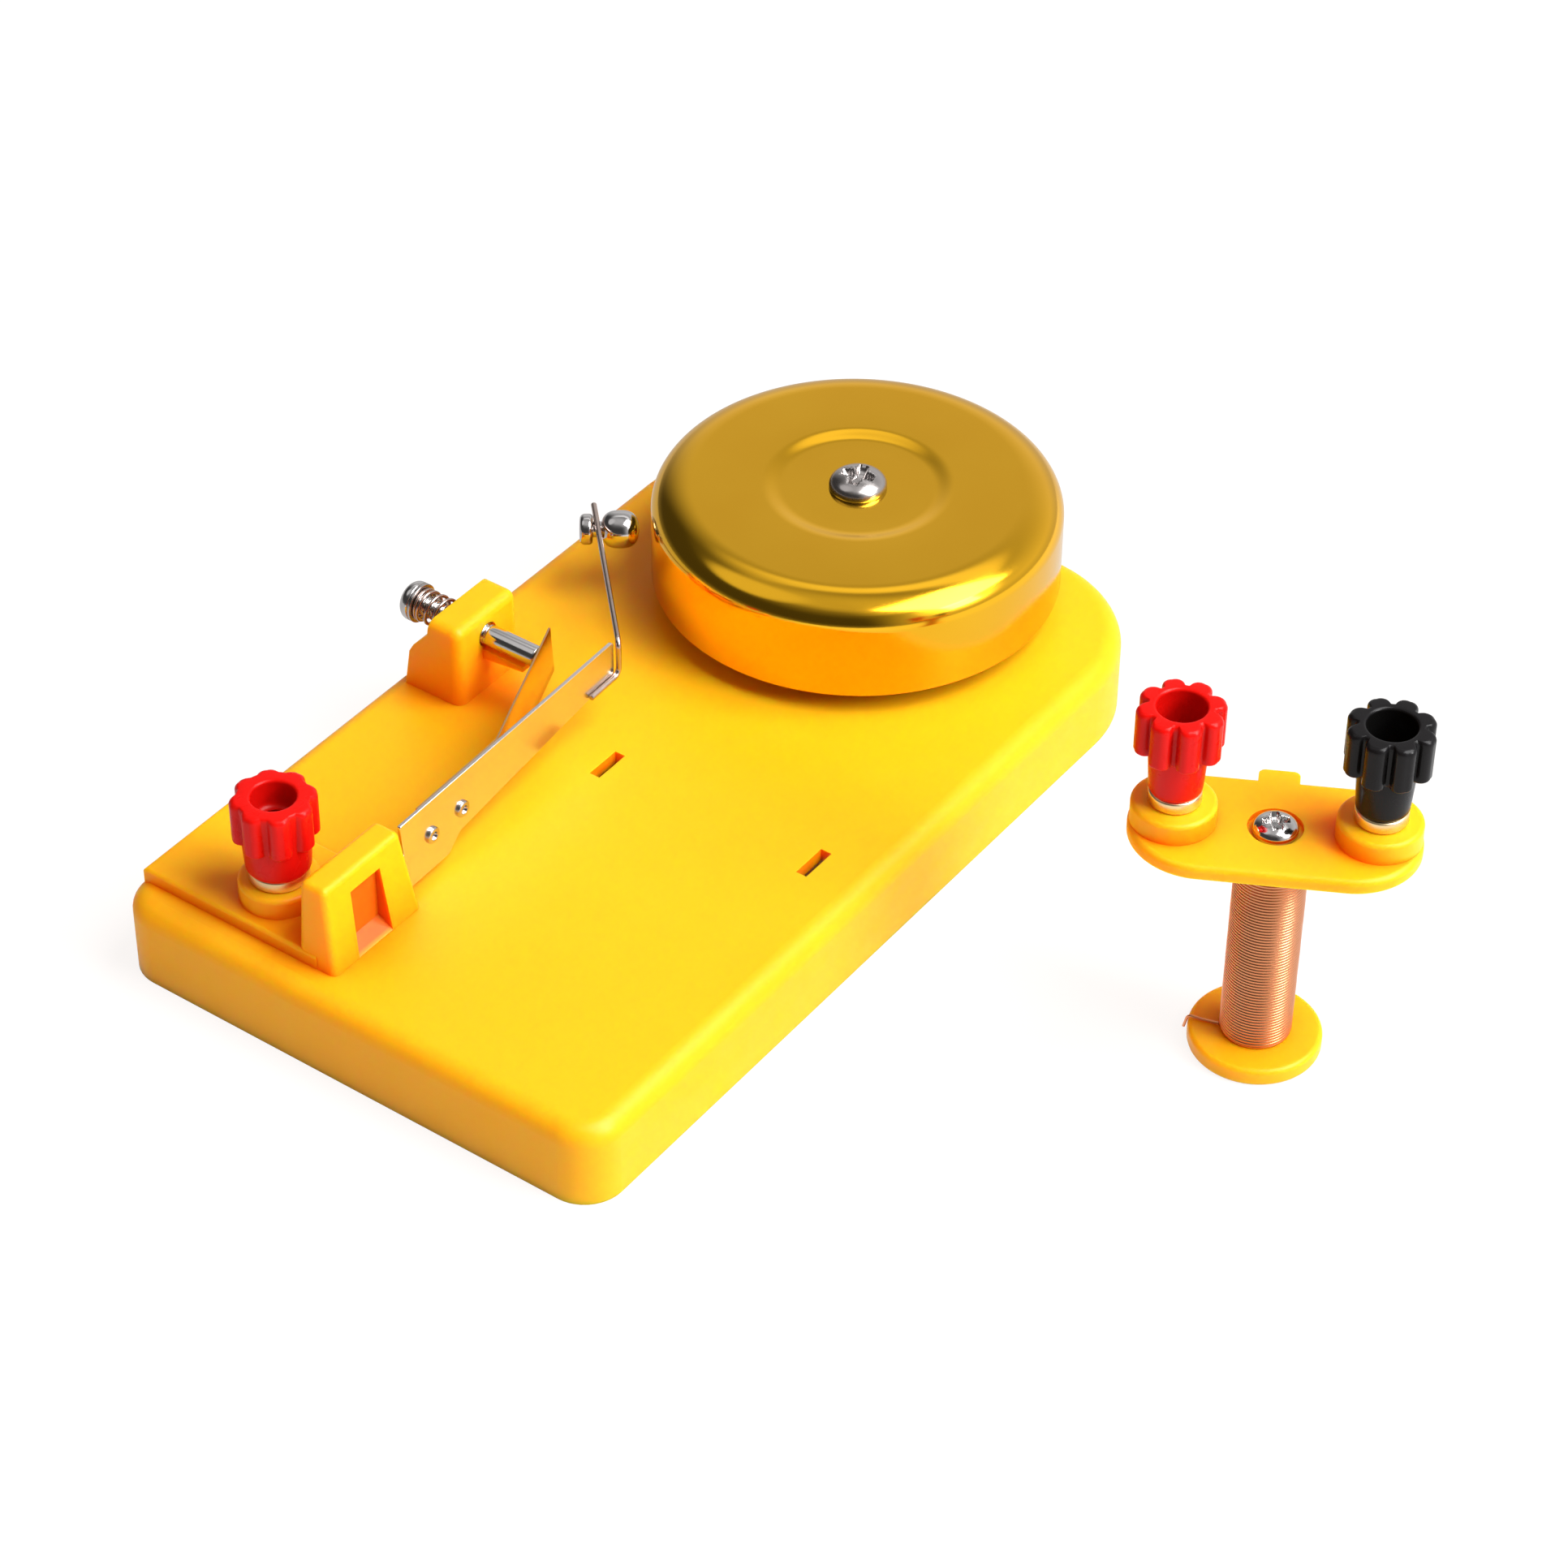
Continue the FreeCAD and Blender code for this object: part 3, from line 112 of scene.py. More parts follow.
def grid_faces(rows, columns, close_rows=False, close_columns=False):
    """Quads between neighbours of a grid whose point (i, j) has number i * columns + j."""
    i, j = np.meshgrid(np.arange(rows if close_rows else rows - 1),
                       np.arange(columns if close_columns else columns - 1), indexing="ij")
    below = (i + 1) % rows
    beside = (j + 1) % columns
    corners = [i * columns + j, i * columns + beside, below * columns + beside,
               below * columns + j]
    return np.stack(corners, -1).reshape(-1, 4)


def smooth_step(x):
    """0 below 0, 1 above 1, and 3x^2 - 2x^3 between."""
    x = np.clip(x, 0, 1)
    return x * x * (3 - 2 * x)


def soft_max(a, b, blend):
    """The larger of two, rounded off where they are within blend of each other: with
    h = 1 - |a - b| / blend, it is raised by h^2 * blend / 4."""
    h = np.clip(1 - abs(a - b) / blend, 0, 1)
    return np.maximum(a, b) + h * h * blend / 4


def circle(steps):
    """Angles that go once round, the last one short of the first."""
    return np.linspace(0, 2 * np.pi, steps, endpoint=False)


def around(r, a, z):
    """Points (r cos a, r sin a, z)."""
    return np.stack([r * np.cos(a), r * np.sin(a), z + 0 * a], -1)


def rounded(corners, steps=7):
    """The line through corners of (place..., radius), each an arc that touches both its sides:
    its centre lies radius / sin(half angle) along the corner's bisector."""
    corners = np.array(corners, float)
    place, radius = corners[:, :-1], corners[1:-1, -1:]
    back = place[:-2] - place[1:-1]
    ahead = place[2:] - place[1:-1]
    back /= np.linalg.norm(back, axis=1, keepdims=True)
    ahead /= np.linalg.norm(ahead, axis=1, keepdims=True)
    half = np.arccos(np.clip((back * ahead).sum(1, keepdims=True), -0.99999, 0.99999)) / 2
    bisector = back + ahead
    bisector /= np.linalg.norm(bisector, axis=1, keepdims=True)
    centre = place[1:-1] + bisector * radius / np.sin(half)
    start = place[1:-1] + back * radius / np.tan(half) - centre
    end = place[1:-1] + ahead * radius / np.tan(half) - centre
    sweep = np.pi - 2 * half
    share = np.linspace(0, 1, steps)
    arcs = [centre + (np.sin((1 - t) * sweep) * start + np.sin(t * sweep) * end) / np.sin(sweep)
            for t in share]
    arcs = np.stack(arcs, 1).reshape(-1, place.shape[1])
    line = np.concatenate([place[:1], arcs, place[-1:]])
    apart = np.linalg.norm(np.diff(line, axis=0), axis=1) > 1e-4
    return line[np.concatenate([[True], apart])]


def turned(profile, steps=96, closed=False):
    """Surface of revolution: (r, z) at angle a goes to (r cos a, r sin a, z)."""
    points = around(profile[:, :1], circle(steps), profile[:, 1:])
    return points.reshape(-1, 3), grid_faces(len(profile), steps, closed, True)


def carried(section, path, side, scale=1.0):
    """A closed section carried along a path, its ends drawn in to the path: a point is
    path + across * side direction + up * the third direction, across and up from the section."""
    tangent = np.gradient(path, axis=0)
    tangent /= np.linalg.norm(tangent, axis=1, keepdims=True)
    across = side - (tangent @ side)[:, None] * tangent
    across /= np.linalg.norm(across, axis=1, keepdims=True)
    up = np.cross(tangent, across)
    size = np.broadcast_to(scale, len(path))[:, None, None]
    rings = path[:, None] + size * (section[None, :, :1] * across[:, None]
                                    + section[None, :, 1:] * up[:, None])
    ends = [np.repeat(rings[k].mean(0)[None, None], len(section), 1) for k in (0, -1)]
    rings = np.concatenate([ends[0], rings, ends[1]])
    return rings.reshape(-1, 3), grid_faces(len(rings), len(section), False, True)


def round_wire(path, diameter, side, steps):
    """A round wire along a path, with a small chamfer at each cut end."""
    reach, end_scale = 0.12 * diameter, 0.8
    start, end = path[0], path[-1]
    inward = [(path[1] - start) / np.linalg.norm(path[1] - start),
              (path[-2] - end) / np.linalg.norm(path[-2] - end)]
    path = np.concatenate([[start, start + reach * inward[0]], path[1:-1],
                           [end + reach * inward[1], end]])
    scale = np.ones(len(path))
    scale[[0, -1]] = end_scale
    a = circle(steps)
    section = np.stack([np.cos(a), np.sin(a)], 1) * diameter / 2
    return carried(section, path, np.array(side, float), scale)


def plate(outline, y0, y1):
    """A flat sheet: an (x, z) outline at y0 and at y1, joined by its edge."""
    count = len(outline)
    x, z = outline.T
    points = np.concatenate([np.stack([x, np.full(count, y), z], 1) for y in (y0, y1)])
    rim = grid_faces(2, count, False, True).tolist()
    return points, rim + [list(range(count)), list(range(2 * count - 1, count - 1, -1))]


def flat_ring(outer, bore, z0, z1, edge):
    """A ring of rectangular section with rounded corners, turned."""
    middle = (outer + bore) / 4
    return turned(rounded([(middle, z0, 0), (outer / 2, z0, edge), (outer / 2, z1, edge),
                           (bore / 2, z1, edge), (bore / 2, z0, edge), (middle, z0, 0)], 5))


def standing(shape, x, y, z=0.0, angle=0.0):
    """A shape turned about Z by an angle in degrees, then moved."""
    points, faces = shape
    a = math.radians(angle)
    turn = np.array([[math.cos(a), math.sin(a), 0], [-math.sin(a), math.cos(a), 0], [0, 0, 1]])
    return points @ turn + (x, y, z), faces


def aimed(shape, origin, direction, spin=0.0):
    """A shape with its +Z turned to a direction, after a spin about its own +Z."""
    points, faces = standing(shape, 0, 0, 0, spin)
    z = np.array(direction, float)
    z /= np.linalg.norm(z)
    x = np.cross((0, 1, 0) if abs(z[2]) > 0.9 else (0, 0, 1), z)
    x /= np.linalg.norm(x)
    return points @ np.stack([x, np.cross(z, x), z]) + origin, faces


# ---- putting pieces in the scene ---------------------------------------------------------------

def piece(name, shapes, body, slot, nodes, crease=38.0, chamfer=0.0):
    """Joins shapes into one mesh, merges doubles, turns faces outwards, and makes it a piece that
    rides a body; given a tuple of two bodies and two end points instead, it is left unattached
    where it stands.  It hides the solids it stands for; chamfer is the width of a bevel on its
    sharp edges."""
    points, faces, count = [], [], 0
    for part_points, part_faces in shapes:
        points.append(part_points)
        faces += [[count + k for k in face] for face in np.asarray(part_faces, object).tolist()]
        count += len(part_points)
    mesh = bpy.data.meshes.new(name)
    mesh.from_pydata((np.concatenate(points) * MM).tolist(), [], faces)
    work = bmesh.new()
    work.from_mesh(mesh)
    bmesh.ops.remove_doubles(work, verts=work.verts, dist=1e-6)
    bmesh.ops.recalc_face_normals(work, faces=work.faces)
    work.to_mesh(mesh)
    work.free()
    mesh.polygons.foreach_set("use_smooth", [True] * len(mesh.polygons))
    mesh.set_sharp_from_angle(angle=math.radians(crease))
    made = bpy.data.objects.new(name, mesh)
    bpy.context.scene.collection.objects.link(made)
    if chamfer:
        bevel = made.modifiers.new("edges", "BEVEL")
        bevel.width = chamfer * MM
        bevel.segments = 2
        bevel.limit_method = "ANGLE"
        bevel.angle_limit = math.radians(crease)
    mesh.materials.append(finishes[slot])
    if isinstance(body, tuple):
        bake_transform(made)
    else:
        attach(made, body)
    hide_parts(*nodes)


# ---- material nodes ----------------------------------------------------------------------------

def node(tree, kind, inputs=(), **settings):
    """Adds a node; inputs maps a socket's name or number to a value or to another socket."""
    made = tree.nodes.new(kind)
    for key, value in settings.items():
        setattr(made, key, value)
    for key, value in dict(inputs).items():
        if isinstance(value, bpy.types.NodeSocket):
            tree.links.new(value, made.inputs[key])
        else:
            made.inputs[key].default_value = value
    return made


def maths(tree, operation, *values):
    """A sum or another operation on values or sockets."""
    return node(tree, "ShaderNodeMath", enumerate(values), operation=operation).outputs[0]


def map_range(tree, value, low, high, first=0.0, last=1.0, **settings):
    """Goes from first to last as the value goes from low to high."""
    return node(tree, "ShaderNodeMapRange", {0: value, 1: low, 2: high, 3: first, 4: last},
                **settings).outputs[0]


def mix(tree, share, one, other):
    """One colour at share 0, the other at share 1; each is a socket or red, green and blue."""
    one, other = (c if isinstance(c, bpy.types.NodeSocket) else (*c, 1) for c in (one, other))
    return node(tree, "ShaderNodeMix", {0: share, 6: one, 7: other}, data_type="RGBA").outputs[2]


def noise(tree, place, size, detail=2.0, stretch=(1, 1, 1)):
    """Noise whose spots are about that many mm, longer along an axis with a small stretch."""
    spread = node(tree, "ShaderNodeMapping", {"Vector": place, "Scale": stretch})
    return node(tree, "ShaderNodeTexNoise", {"Vector": spread.outputs[0], "Scale": 1 / (size * MM),
                                             "Detail": detail}).outputs["Fac"]


def spread_over(tree, value, low, high, wide=0.25):
    """Maps noise around 0.5, that wide to each side, to a range."""
    return map_range(tree, value, 0.5 - wide, 0.5 + wide, low, high)


def drift(tree, value, one, other):
    """Colour that drifts between two by a noise value."""
    return mix(tree, spread_over(tree, value, 0, 1, 0.2), one, other)


def relief(tree, heights, shader):
    """Adds bump layers to a shader: pairs of a height value and its depth in mm."""
    normal = None
    for height, depth in heights:
        bump = node(tree, "ShaderNodeBump", {"Height": height, "Distance": depth * MM})
        if normal is not None:
            tree.links.new(normal, bump.inputs["Normal"])
        normal = bump.outputs[0]
    tree.links.new(normal, shader.inputs["Normal"])


def facing(tree, way, direction, low, high):
    """0 to 1 as a way's cosine with a direction goes from low to high."""
    cosine = node(tree, "ShaderNodeVectorMath", {0: way, 1: direction}, operation="DOT_PRODUCT")
    return map_range(tree, cosine.outputs["Value"], low, high, interpolation_type="SMOOTHSTEP")


def ramp(tree, value, stops):
    """A grey ramp through (place, level) stops, its two ends first."""
    made = node(tree, "ShaderNodeValToRGB", {0: value})
    elements = made.color_ramp.elements
    for number, (place, level) in enumerate(stops):
        stop = elements[number] if number < 2 else elements.new(place)
        stop.position = place
        stop.color = (level, level, level, 1)
    return made.outputs[0]


def rays(tree, *names):
    """1 for light path rays of the named kinds."""
    path = node(tree, "ShaderNodeLightPath")
    total = path.outputs[f"Is {names[0]} Ray"]
    for name in names[1:]:
        total = maths(tree, "MAXIMUM", total, path.outputs[f"Is {name} Ray"])
    return total


# ---- finishes ----------------------------------------------------------------------------------

def new_finish(name, metallic, **sockets):
    """A material with one Principled shader; returns it with its tree, shader and place socket."""
    material = bpy.data.materials.new(name)
    material.use_nodes = True
    tree = material.node_tree
    shader = tree.nodes["Principled BSDF"]
    shader.inputs["Metallic"].default_value = metallic
    for key, value in sockets.items():
        shader.inputs[key.replace("_", " ")].default_value = value
    place = node(tree, "ShaderNodeTexCoord").outputs["Object"]
    return material, tree, shader, place


def plain_finish(name, one, other, metallic, rough, spot=6.0, grain=0.25, depth=0.004,
                 stretch=(1, 1, 1), **sockets):
    """A finish with a slow drift of colour, spots of roughness and a fine grain."""
    material, tree, shader, place = new_finish(name, metallic, **sockets)
    slow = noise(tree, place, spot)
    fine = noise(tree, place, grain, 3.0, stretch)
    tree.links.new(drift(tree, slow, one, other), shader.inputs["Base Color"])
    tree.links.new(spread_over(tree, slow, *rough), shader.inputs["Roughness"])
    relief(tree, [(fine, depth)], shader)
    return name, material


def gong_finish():
    """Gold lacquer on spun sheet: rings of fine lines about the gong's axis under a clear coat."""
    name = "gong_gold"
    material, tree, shader, place = new_finish(name, 1.0, Coat_Weight=0.05, Coat_Roughness=0.06)
    to_axis = (-GONG_AXIS[0] * MM, -GONG_AXIS[1] * MM, 0)
    centred = node(tree, "ShaderNodeMapping", {"Vector": place, "Location": to_axis})
    flat = node(tree, "ShaderNodeVectorMath", {0: centred.outputs[0], 1: (1, 1, 0)},
                operation="MULTIPLY")
    radius = node(tree, "ShaderNodeVectorMath", {0: flat.outputs[0]}, operation="LENGTH")
    lines_per_metre = 4000.0
    rings = node(tree, "ShaderNodeTexNoise",
                 {"W": radius.outputs["Value"], "Scale": lines_per_metre, "Detail": 2.0},
                 noise_dimensions="1D")
    slow = noise(tree, place, 14.0)
    tree.links.new(drift(tree, slow, (0.93, 0.50, 0.022), (0.90, 0.47, 0.018)),
                   shader.inputs["Base Color"])
    tree.links.new(spread_over(tree, slow, 0.12, 0.16), shader.inputs["Roughness"])
    relief(tree, [(rings.outputs["Fac"], 0.0006), (noise(tree, place, 0.3), 0.0008)], shader)
    return name, material


def window_shade_mask(tree, place):
    """0 to 1 on the inner walls of the strip holder's window, where its painted shade goes: the
    product of one step each for its width, for its height, for being behind the leaning front
    face, and for its back."""
    lean = 0.16
    x, y, z = node(tree, "ShaderNodeSeparateXYZ", {0: place}).outputs
    aside = maths(tree, "ABSOLUTE", maths(tree, "SUBTRACT", x, WINDOW_MIDDLE_X * MM))
    behind = maths(tree, "MULTIPLY_ADD", z, -lean, y)
    # a value, then where its step is 0 and where it is 1, in mm
    steps = [(aside, 3.8, 3.5), (z, 22.2, 22.0), (behind, 3.5, 4.1), (y, 8.4, 8.1)]
    share = 1.0
    for value, outside, inside in steps:
        step = map_range(tree, value, outside * MM, inside * MM)
        share = maths(tree, "MULTIPLY", step, share)
    return share


def moulded_finish(name, one, other, corner_shade, rough, glow, reach, shine, window=None):
    """Glossy moulded plastic: light spreads inside it and its skin has a faint orange peel.  Its
    colour is painted darker and more orange in corners and under overhangs, a painted shade
    found by the piece's own ambient occlusion.  window is the painted shade colour on the inner
    walls of the strip holder's window."""
    material, tree, shader, place = new_finish(name, 0.0, Subsurface_Weight=glow,
                                               Subsurface_Scale=0.001, Subsurface_Radius=reach,
                                               Specular_IOR_Level=shine)
    # Painted shade: where the piece's own ambient occlusion closes in, the colour is mixed towards
    # the darker shade colour passed third.
    corner_size, shut, open_air = 0.014, 0.50, 0.92
    openness = node(tree, "ShaderNodeAmbientOcclusion", {"Distance": corner_size}, samples=8,
                    only_local=True).outputs["AO"]
    skin = mix(tree, map_range(tree, openness, shut, open_air), corner_shade,
               drift(tree, noise(tree, place, 22.0), one, other))
    # Painted shade on the inner walls of the strip holder's window: the window colour is mixed in
    # there.
    if window:
        skin = mix(tree, window_shade_mask(tree, place), skin, window)
    tree.links.new(skin, shader.inputs["Base Color"])
    tree.links.new(spread_over(tree, noise(tree, place, 3.0), *rough), shader.inputs["Roughness"])
    relief(tree, [(noise(tree, place, 5.0, 1.0), 0.02), (noise(tree, place, 0.5), 0.003)],
           shader)
    return name, material


def make_finishes():
    """All finishes, by the name of their slot."""
    made = [
        # Each moulded finish's third colour is its painted corner shade; the yellow plastic's last
        # colour is the painted shade inside the strip holder's window.
        moulded_finish("yellow_plastic", (0.97, 0.495, 0.007), (0.95, 0.475, 0.006),
                       (0.88, 0.26, 0.001), (0.36, 0.46), 0.8, (4.0, 1.0, 0.15), 0.25,
                       (0.66, 0.13, 0.004)),
        moulded_finish("red_plastic", (0.66, 0.006, 0.004), (0.60, 0.004, 0.003),
                       (0.50, 0.003, 0.002), (0.24, 0.34), 0.25, (1.2, 0.2, 0.1), 0.15),
        moulded_finish("black_plastic", (0.006, 0.006, 0.007), (0.009, 0.009, 0.010),
                       (0.003, 0.003, 0.003), (0.20, 0.30), 0.0, (0.5, 0.5, 0.5), 0.15),
        gong_finish(),
        plain_finish("bright_chrome", (0.64, 0.61, 0.60), (0.57, 0.55, 0.54), 1.0, (0.08, 0.14)),
        plain_finish("bright_steel", (0.52, 0.48, 0.47), (0.46, 0.43, 0.42), 1.0, (0.16, 0.24)),
        plain_finish("spring_steel", (0.76, 0.70, 0.66), (0.70, 0.64, 0.60), 1.0, (0.20, 0.28),
                     9.0, 0.12, 0.0006, (0.03, 1, 1)),
        plain_finish("wire_steel", (0.56, 0.45, 0.40), (0.48, 0.38, 0.34), 1.0, (0.18, 0.26),
                     2.0, 0.1, 0.002),
        plain_finish("bronze_leaf", (0.80, 0.48, 0.22), (0.76, 0.44, 0.19), 1.0, (0.16, 0.24),
                     7.0, 0.12, 0.001, (0.05, 1, 1)),
        plain_finish("plain_brass", (0.84, 0.62, 0.28), (0.78, 0.56, 0.23), 1.0, (0.22, 0.34)),
        plain_finish("pale_collar", (0.90, 0.70, 0.40), (0.84, 0.64, 0.35), 1.0, (0.28, 0.38)),
        plain_finish("copper_winding", (0.74, 0.30, 0.14), (0.68, 0.26, 0.11), 1.0, (0.26, 0.34),
                     9.0, 0.3, 0.0005, Coat_Weight=0.2, Coat_Roughness=0.2),
        plain_finish("soft_iron", (0.30, 0.29, 0.28), (0.24, 0.23, 0.22), 1.0, (0.4, 0.55)),
        plain_finish("fibre", (0.30, 0.10, 0.04), (0.24, 0.07, 0.03), 0.0, (0.6, 0.75)),
    ]
    return dict(made)


def dress_solids():
    """Gives each carried-over solid the finish of its slot."""
    for row in frame["record"]["subparts"]:
        materials = frame["nodes"][row["node"]].data.materials
        materials.clear()
        materials.append(finishes[row["material_slot"]])


# ---- gong --------------------------------------------------------------------------------------

def gong_line(radius, top, shoulder_width, shoulder_height, dish_z, seat_z):
    """One face of the sheet from its hole to its wall: seat under the screw's head, small step,
    flat dish, ramp of cosine form, flat ring, shoulder as a quarter ellipse."""
    hole, seat_end, step_end, dish_middle, dish_end, ramp_width = 2.1, 3.2, 3.3, 8.0, 10.4, 3.0
    ring_middle = 17.0
    flat_r = np.array([hole, seat_end, step_end, dish_middle])
    flat_z = np.array([seat_z, seat_z, dish_z, dish_z])
    share = np.linspace(0, 1, 13)
    ramp_r = dish_end + ramp_width * share
    ramp_z = dish_z + (top - dish_z) * (0.5 - 0.5 * np.cos(np.pi * share))
    a = np.linspace(np.pi / 2, 0, 30)
    shoulder_r = radius - shoulder_width + shoulder_width * np.cos(a)
    shoulder_z = top - shoulder_height + shoulder_height * np.sin(a)
    return np.stack([np.concatenate([flat_r, ramp_r, [ring_middle], shoulder_r]),
                     np.concatenate([flat_z, ramp_z, [top], shoulder_z])], 1)


def make_gong():
    """The pressed gong: outer face, rolled rim and inner face as one closed line, turned."""
    shoulder_width, shoulder_height, dish_depth, rim_height, rim_edge = 5.7, 4.1, 0.45, 6, 0.3
    inside, wall_z = GONG_RADIUS - GONG_SHEET, GONG_RIM_Z + rim_height
    outer = gong_line(GONG_RADIUS, GONG_TOP_Z, shoulder_width, shoulder_height,
                      GONG_TOP_Z - dish_depth, GONG_SEAT_Z)
    under_z = GONG_SEAT_Z - GONG_SHEET
    inner = gong_line(inside, GONG_TOP_Z - GONG_SHEET, shoulder_width - GONG_SHEET,
                      shoulder_height - GONG_SHEET, under_z, under_z)
    rim = rounded([(GONG_RADIUS, wall_z, 0), (GONG_RADIUS, GONG_RIM_Z, rim_edge),
                   (inside, GONG_RIM_Z, rim_edge), (inside, wall_z, 0)])
    line = np.concatenate([outer, rim, inner[::-1]])
    piece("gong", [standing(turned(line, 224, True), *GONG_AXIS)], "base", "gong_gold",
          ["gong"], 50)


# ---- screws ------------------------------------------------------------------------------------

def screw_head(diameter, height, crown):
    """A pan head on z = 0 with a cross recess.  The crown is a superellipse, z rising by
    crown (1 - (r / R)^p)^(1/p); the recess is taken off it with smooth edges, deepest in the
    middle and rising along its four arms."""
    radius, power = diameter / 2, 2.1
    t = np.linspace(0, np.pi / 2, 16)
    round_r = radius * np.cos(t) ** (2 / power)
    inside = np.linspace(round_r[-3], 0, 60)
    r = np.concatenate([[radius * 0.97, radius], round_r[:-3], inside])
    z = height - crown + crown * (1 - np.clip(r / radius, 0, 1) ** power) ** (1 / power)
    z[:2] = 0, 0.06
    a = circle(192)
    x, y = r[:, None] * np.cos(a), r[:, None] * np.sin(a)
    arm = np.minimum(abs(x), abs(y))
    along = np.maximum(abs(x), abs(y))
    span = diameter * 0.29
    width = diameter * 0.085 * (1.2 - 0.4 * along / span)
    pit = smooth_step((width - arm) / (0.045 * diameter) + 0.5)
    pit *= smooth_step((span - along) / (0.06 * diameter))
    depth = height * (0.66 - 0.30 * np.clip(along / span, 0, 1))
    head = np.stack([x, y, z[:, None] - pit * depth], -1)
    points = np.concatenate([0 * head[:1], head])
    return points.reshape(-1, 3), grid_faces(len(points), len(a), False, True)


def screw_thread(diameter, pitch, end, plain_end):
    """A shank from just inside the head down to z = end: its radius falls by a ridge of triangle
    form whose phase is z / pitch less the share of the turn; the last plain_end is smooth with a
    round tip."""
    start, depth, tip_edge = 0.05, 0.54 * pitch, 0.45
    z = np.linspace(start, end + plain_end, max(8, int((start - end - plain_end) / pitch * 8)))
    a = circle(48)
    phase = (z[:, None] / pitch - a / (2 * np.pi)) % 1
    ridge = np.clip(np.abs(2 * phase - 1) * 1.25 - 0.12, 0, 1)
    fade = smooth_step((z - end - plain_end) / pitch)[:, None]
    r = diameter / 2 - depth * ridge * fade
    tip = rounded([(diameter / 2, end + plain_end - 0.01, 0), (diameter / 2, end, tip_edge),
                   (0, end, 0)])
    r = np.concatenate([r, np.repeat(tip[:, :1], len(a), 1)])
    points = around(r, a, np.concatenate([z, tip[:, 1]])[:, None])
    points = np.concatenate([points[:1] * (0, 0, 1), points])
    return points.reshape(-1, 3), grid_faces(len(points), len(a), False, True)


def make_screws():
    """The four cross-head screws.  A row is a name, the head's diameter, height and crown, the
    thread's diameter, pitch, end and smooth tip, a body, a finish, and what sets it in place."""
    big_head = (8.0, 2.6, 1.9)
    under_pillar = (*GONG_AXIS, PILLAR_SCREW_SEAT_Z)
    beside_tower = (SCREW_AXIS[0], SCREW_HEAD_SEAT_Y, SCREW_AXIS[1])
    rows = [
        ("gong_screw", big_head, (4.0, 0.7, -9.0, 0.6), "base", "bright_steel",
         lambda shape: standing(shape, *GONG_AXIS, GONG_SEAT_Z, 14)),
        ("pillar_screw", big_head, (4.0, 0.7, -7.0, 0.6), "base", "bright_steel",
         lambda shape: aimed(shape, under_pillar, (0, 0, -1))),
        ("core_screw", (5.8, 2.0, 1.5), (3.0, 0.5, -7.0, 0.5), "magnet", "bright_chrome",
         lambda shape: standing(shape, *MAGNET_AXIS, CORE_SCREW_SEAT_Z, 40)),
        ("contact_screw", (5.6, 2.2, 1.6), (3.0, 0.5, -20.6, 8.0), "contact_screw",
         "bright_chrome", lambda shape: aimed(shape, beside_tower, (0, 1, 0), 20)),
    ]
    for name, head, thread, body, finish, in_place in rows:
        piece(name, [in_place(screw_head(*head)), in_place(screw_thread(*thread))], body, finish,
              [name], 75)


def make_screw_washer():
    """The washer between the contact screw's head and its spring."""
    washer = flat_ring(5.6, 3.1, 0, 0.5, 0.12)
    piece("screw_washer", [aimed(washer, (SCREW_AXIS[0], WASHER_Y, SCREW_AXIS[1]), (0, 1, 0))],
          "contact_screw_washer", "bright_steel", ["screw_washer"])


def make_screw_spring():
    """The compression spring: a helix whose pitch is closed at both ends and open between."""
    y0, y1 = SPRING_ENDS_Y
    wire, mean_radius, turns, start_angle = 0.5, 2.15, 5.5, 0.6
    closed_pitch, closed_share, opening_share = 0.16, 0.10, 0.12
    t = np.linspace(0, 1, 420)
    pitch = closed_pitch + (smooth_step((t - closed_share) / opening_share)
                            * smooth_step((1 - closed_share - t) / opening_share))
    rise = np.cumsum(pitch) - pitch[0]
    y = y0 + wire / 2 + (y1 - y0 - wire) * rise / rise[-1]
    a = 2 * np.pi * turns * t + start_angle
    path = np.stack([SCREW_AXIS[0] + mean_radius * np.cos(a), y,
                     SCREW_AXIS[1] + mean_radius * np.sin(a)], 1)
    start, end = ((SCREW_AXIS[0] * MM, y * MM, SCREW_AXIS[1] * MM) for y in SPRING_ENDS_Y)
    piece("screw_spring", [round_wire(path, wire, (0, 1, 0), 14)],
          ("base", "contact_screw_washer", start, end), "wire_steel", ["screw_spring"])


# ---- armature ----------------------------------------------------------------------------------

def on_hinge(shape):
    """Sets a shape from the armature's own axes (x along the blade, y its back side) in place."""
    return standing(shape, *HINGE, 0, BLADE_ANGLE)


def root_edge(z):
    """Where the blade starts beside the strip holder's leaning end, at a height."""
    return 1.1 - 0.104 * (z - DECK_Z)


def make_blade():
    """The spring steel strip with its root tab, as one flat outline."""
    foot, head, end, end_foot = 13.8, 24.9, 45.8, 19.4
    tab_low, tab_high, tab_end = 14.6, 20.0, -3.3
    outline = rounded([(10.0, foot, 0), (root_edge(foot), foot, 0.2),
                       (root_edge(tab_low), tab_low, 0), (tab_end, tab_low, 0.2),
                       (tab_end, tab_high, 0.2), (root_edge(tab_high), tab_high, 0),
                       (root_edge(head), head, 0.3), (end, head, 0.5), (end, end_foot, 0.7),
                       (11.8, 16.0, 0.8), (9.3, foot, 0.4), (5.0, foot, 0)], 6)[1:-1]
    half = BLADE_THICKNESS / 2
    piece("armature_blade", [on_hinge(plate(outline, -half, half))], "armature", "spring_steel",
          ["armature_blade"], 38, 0.07)


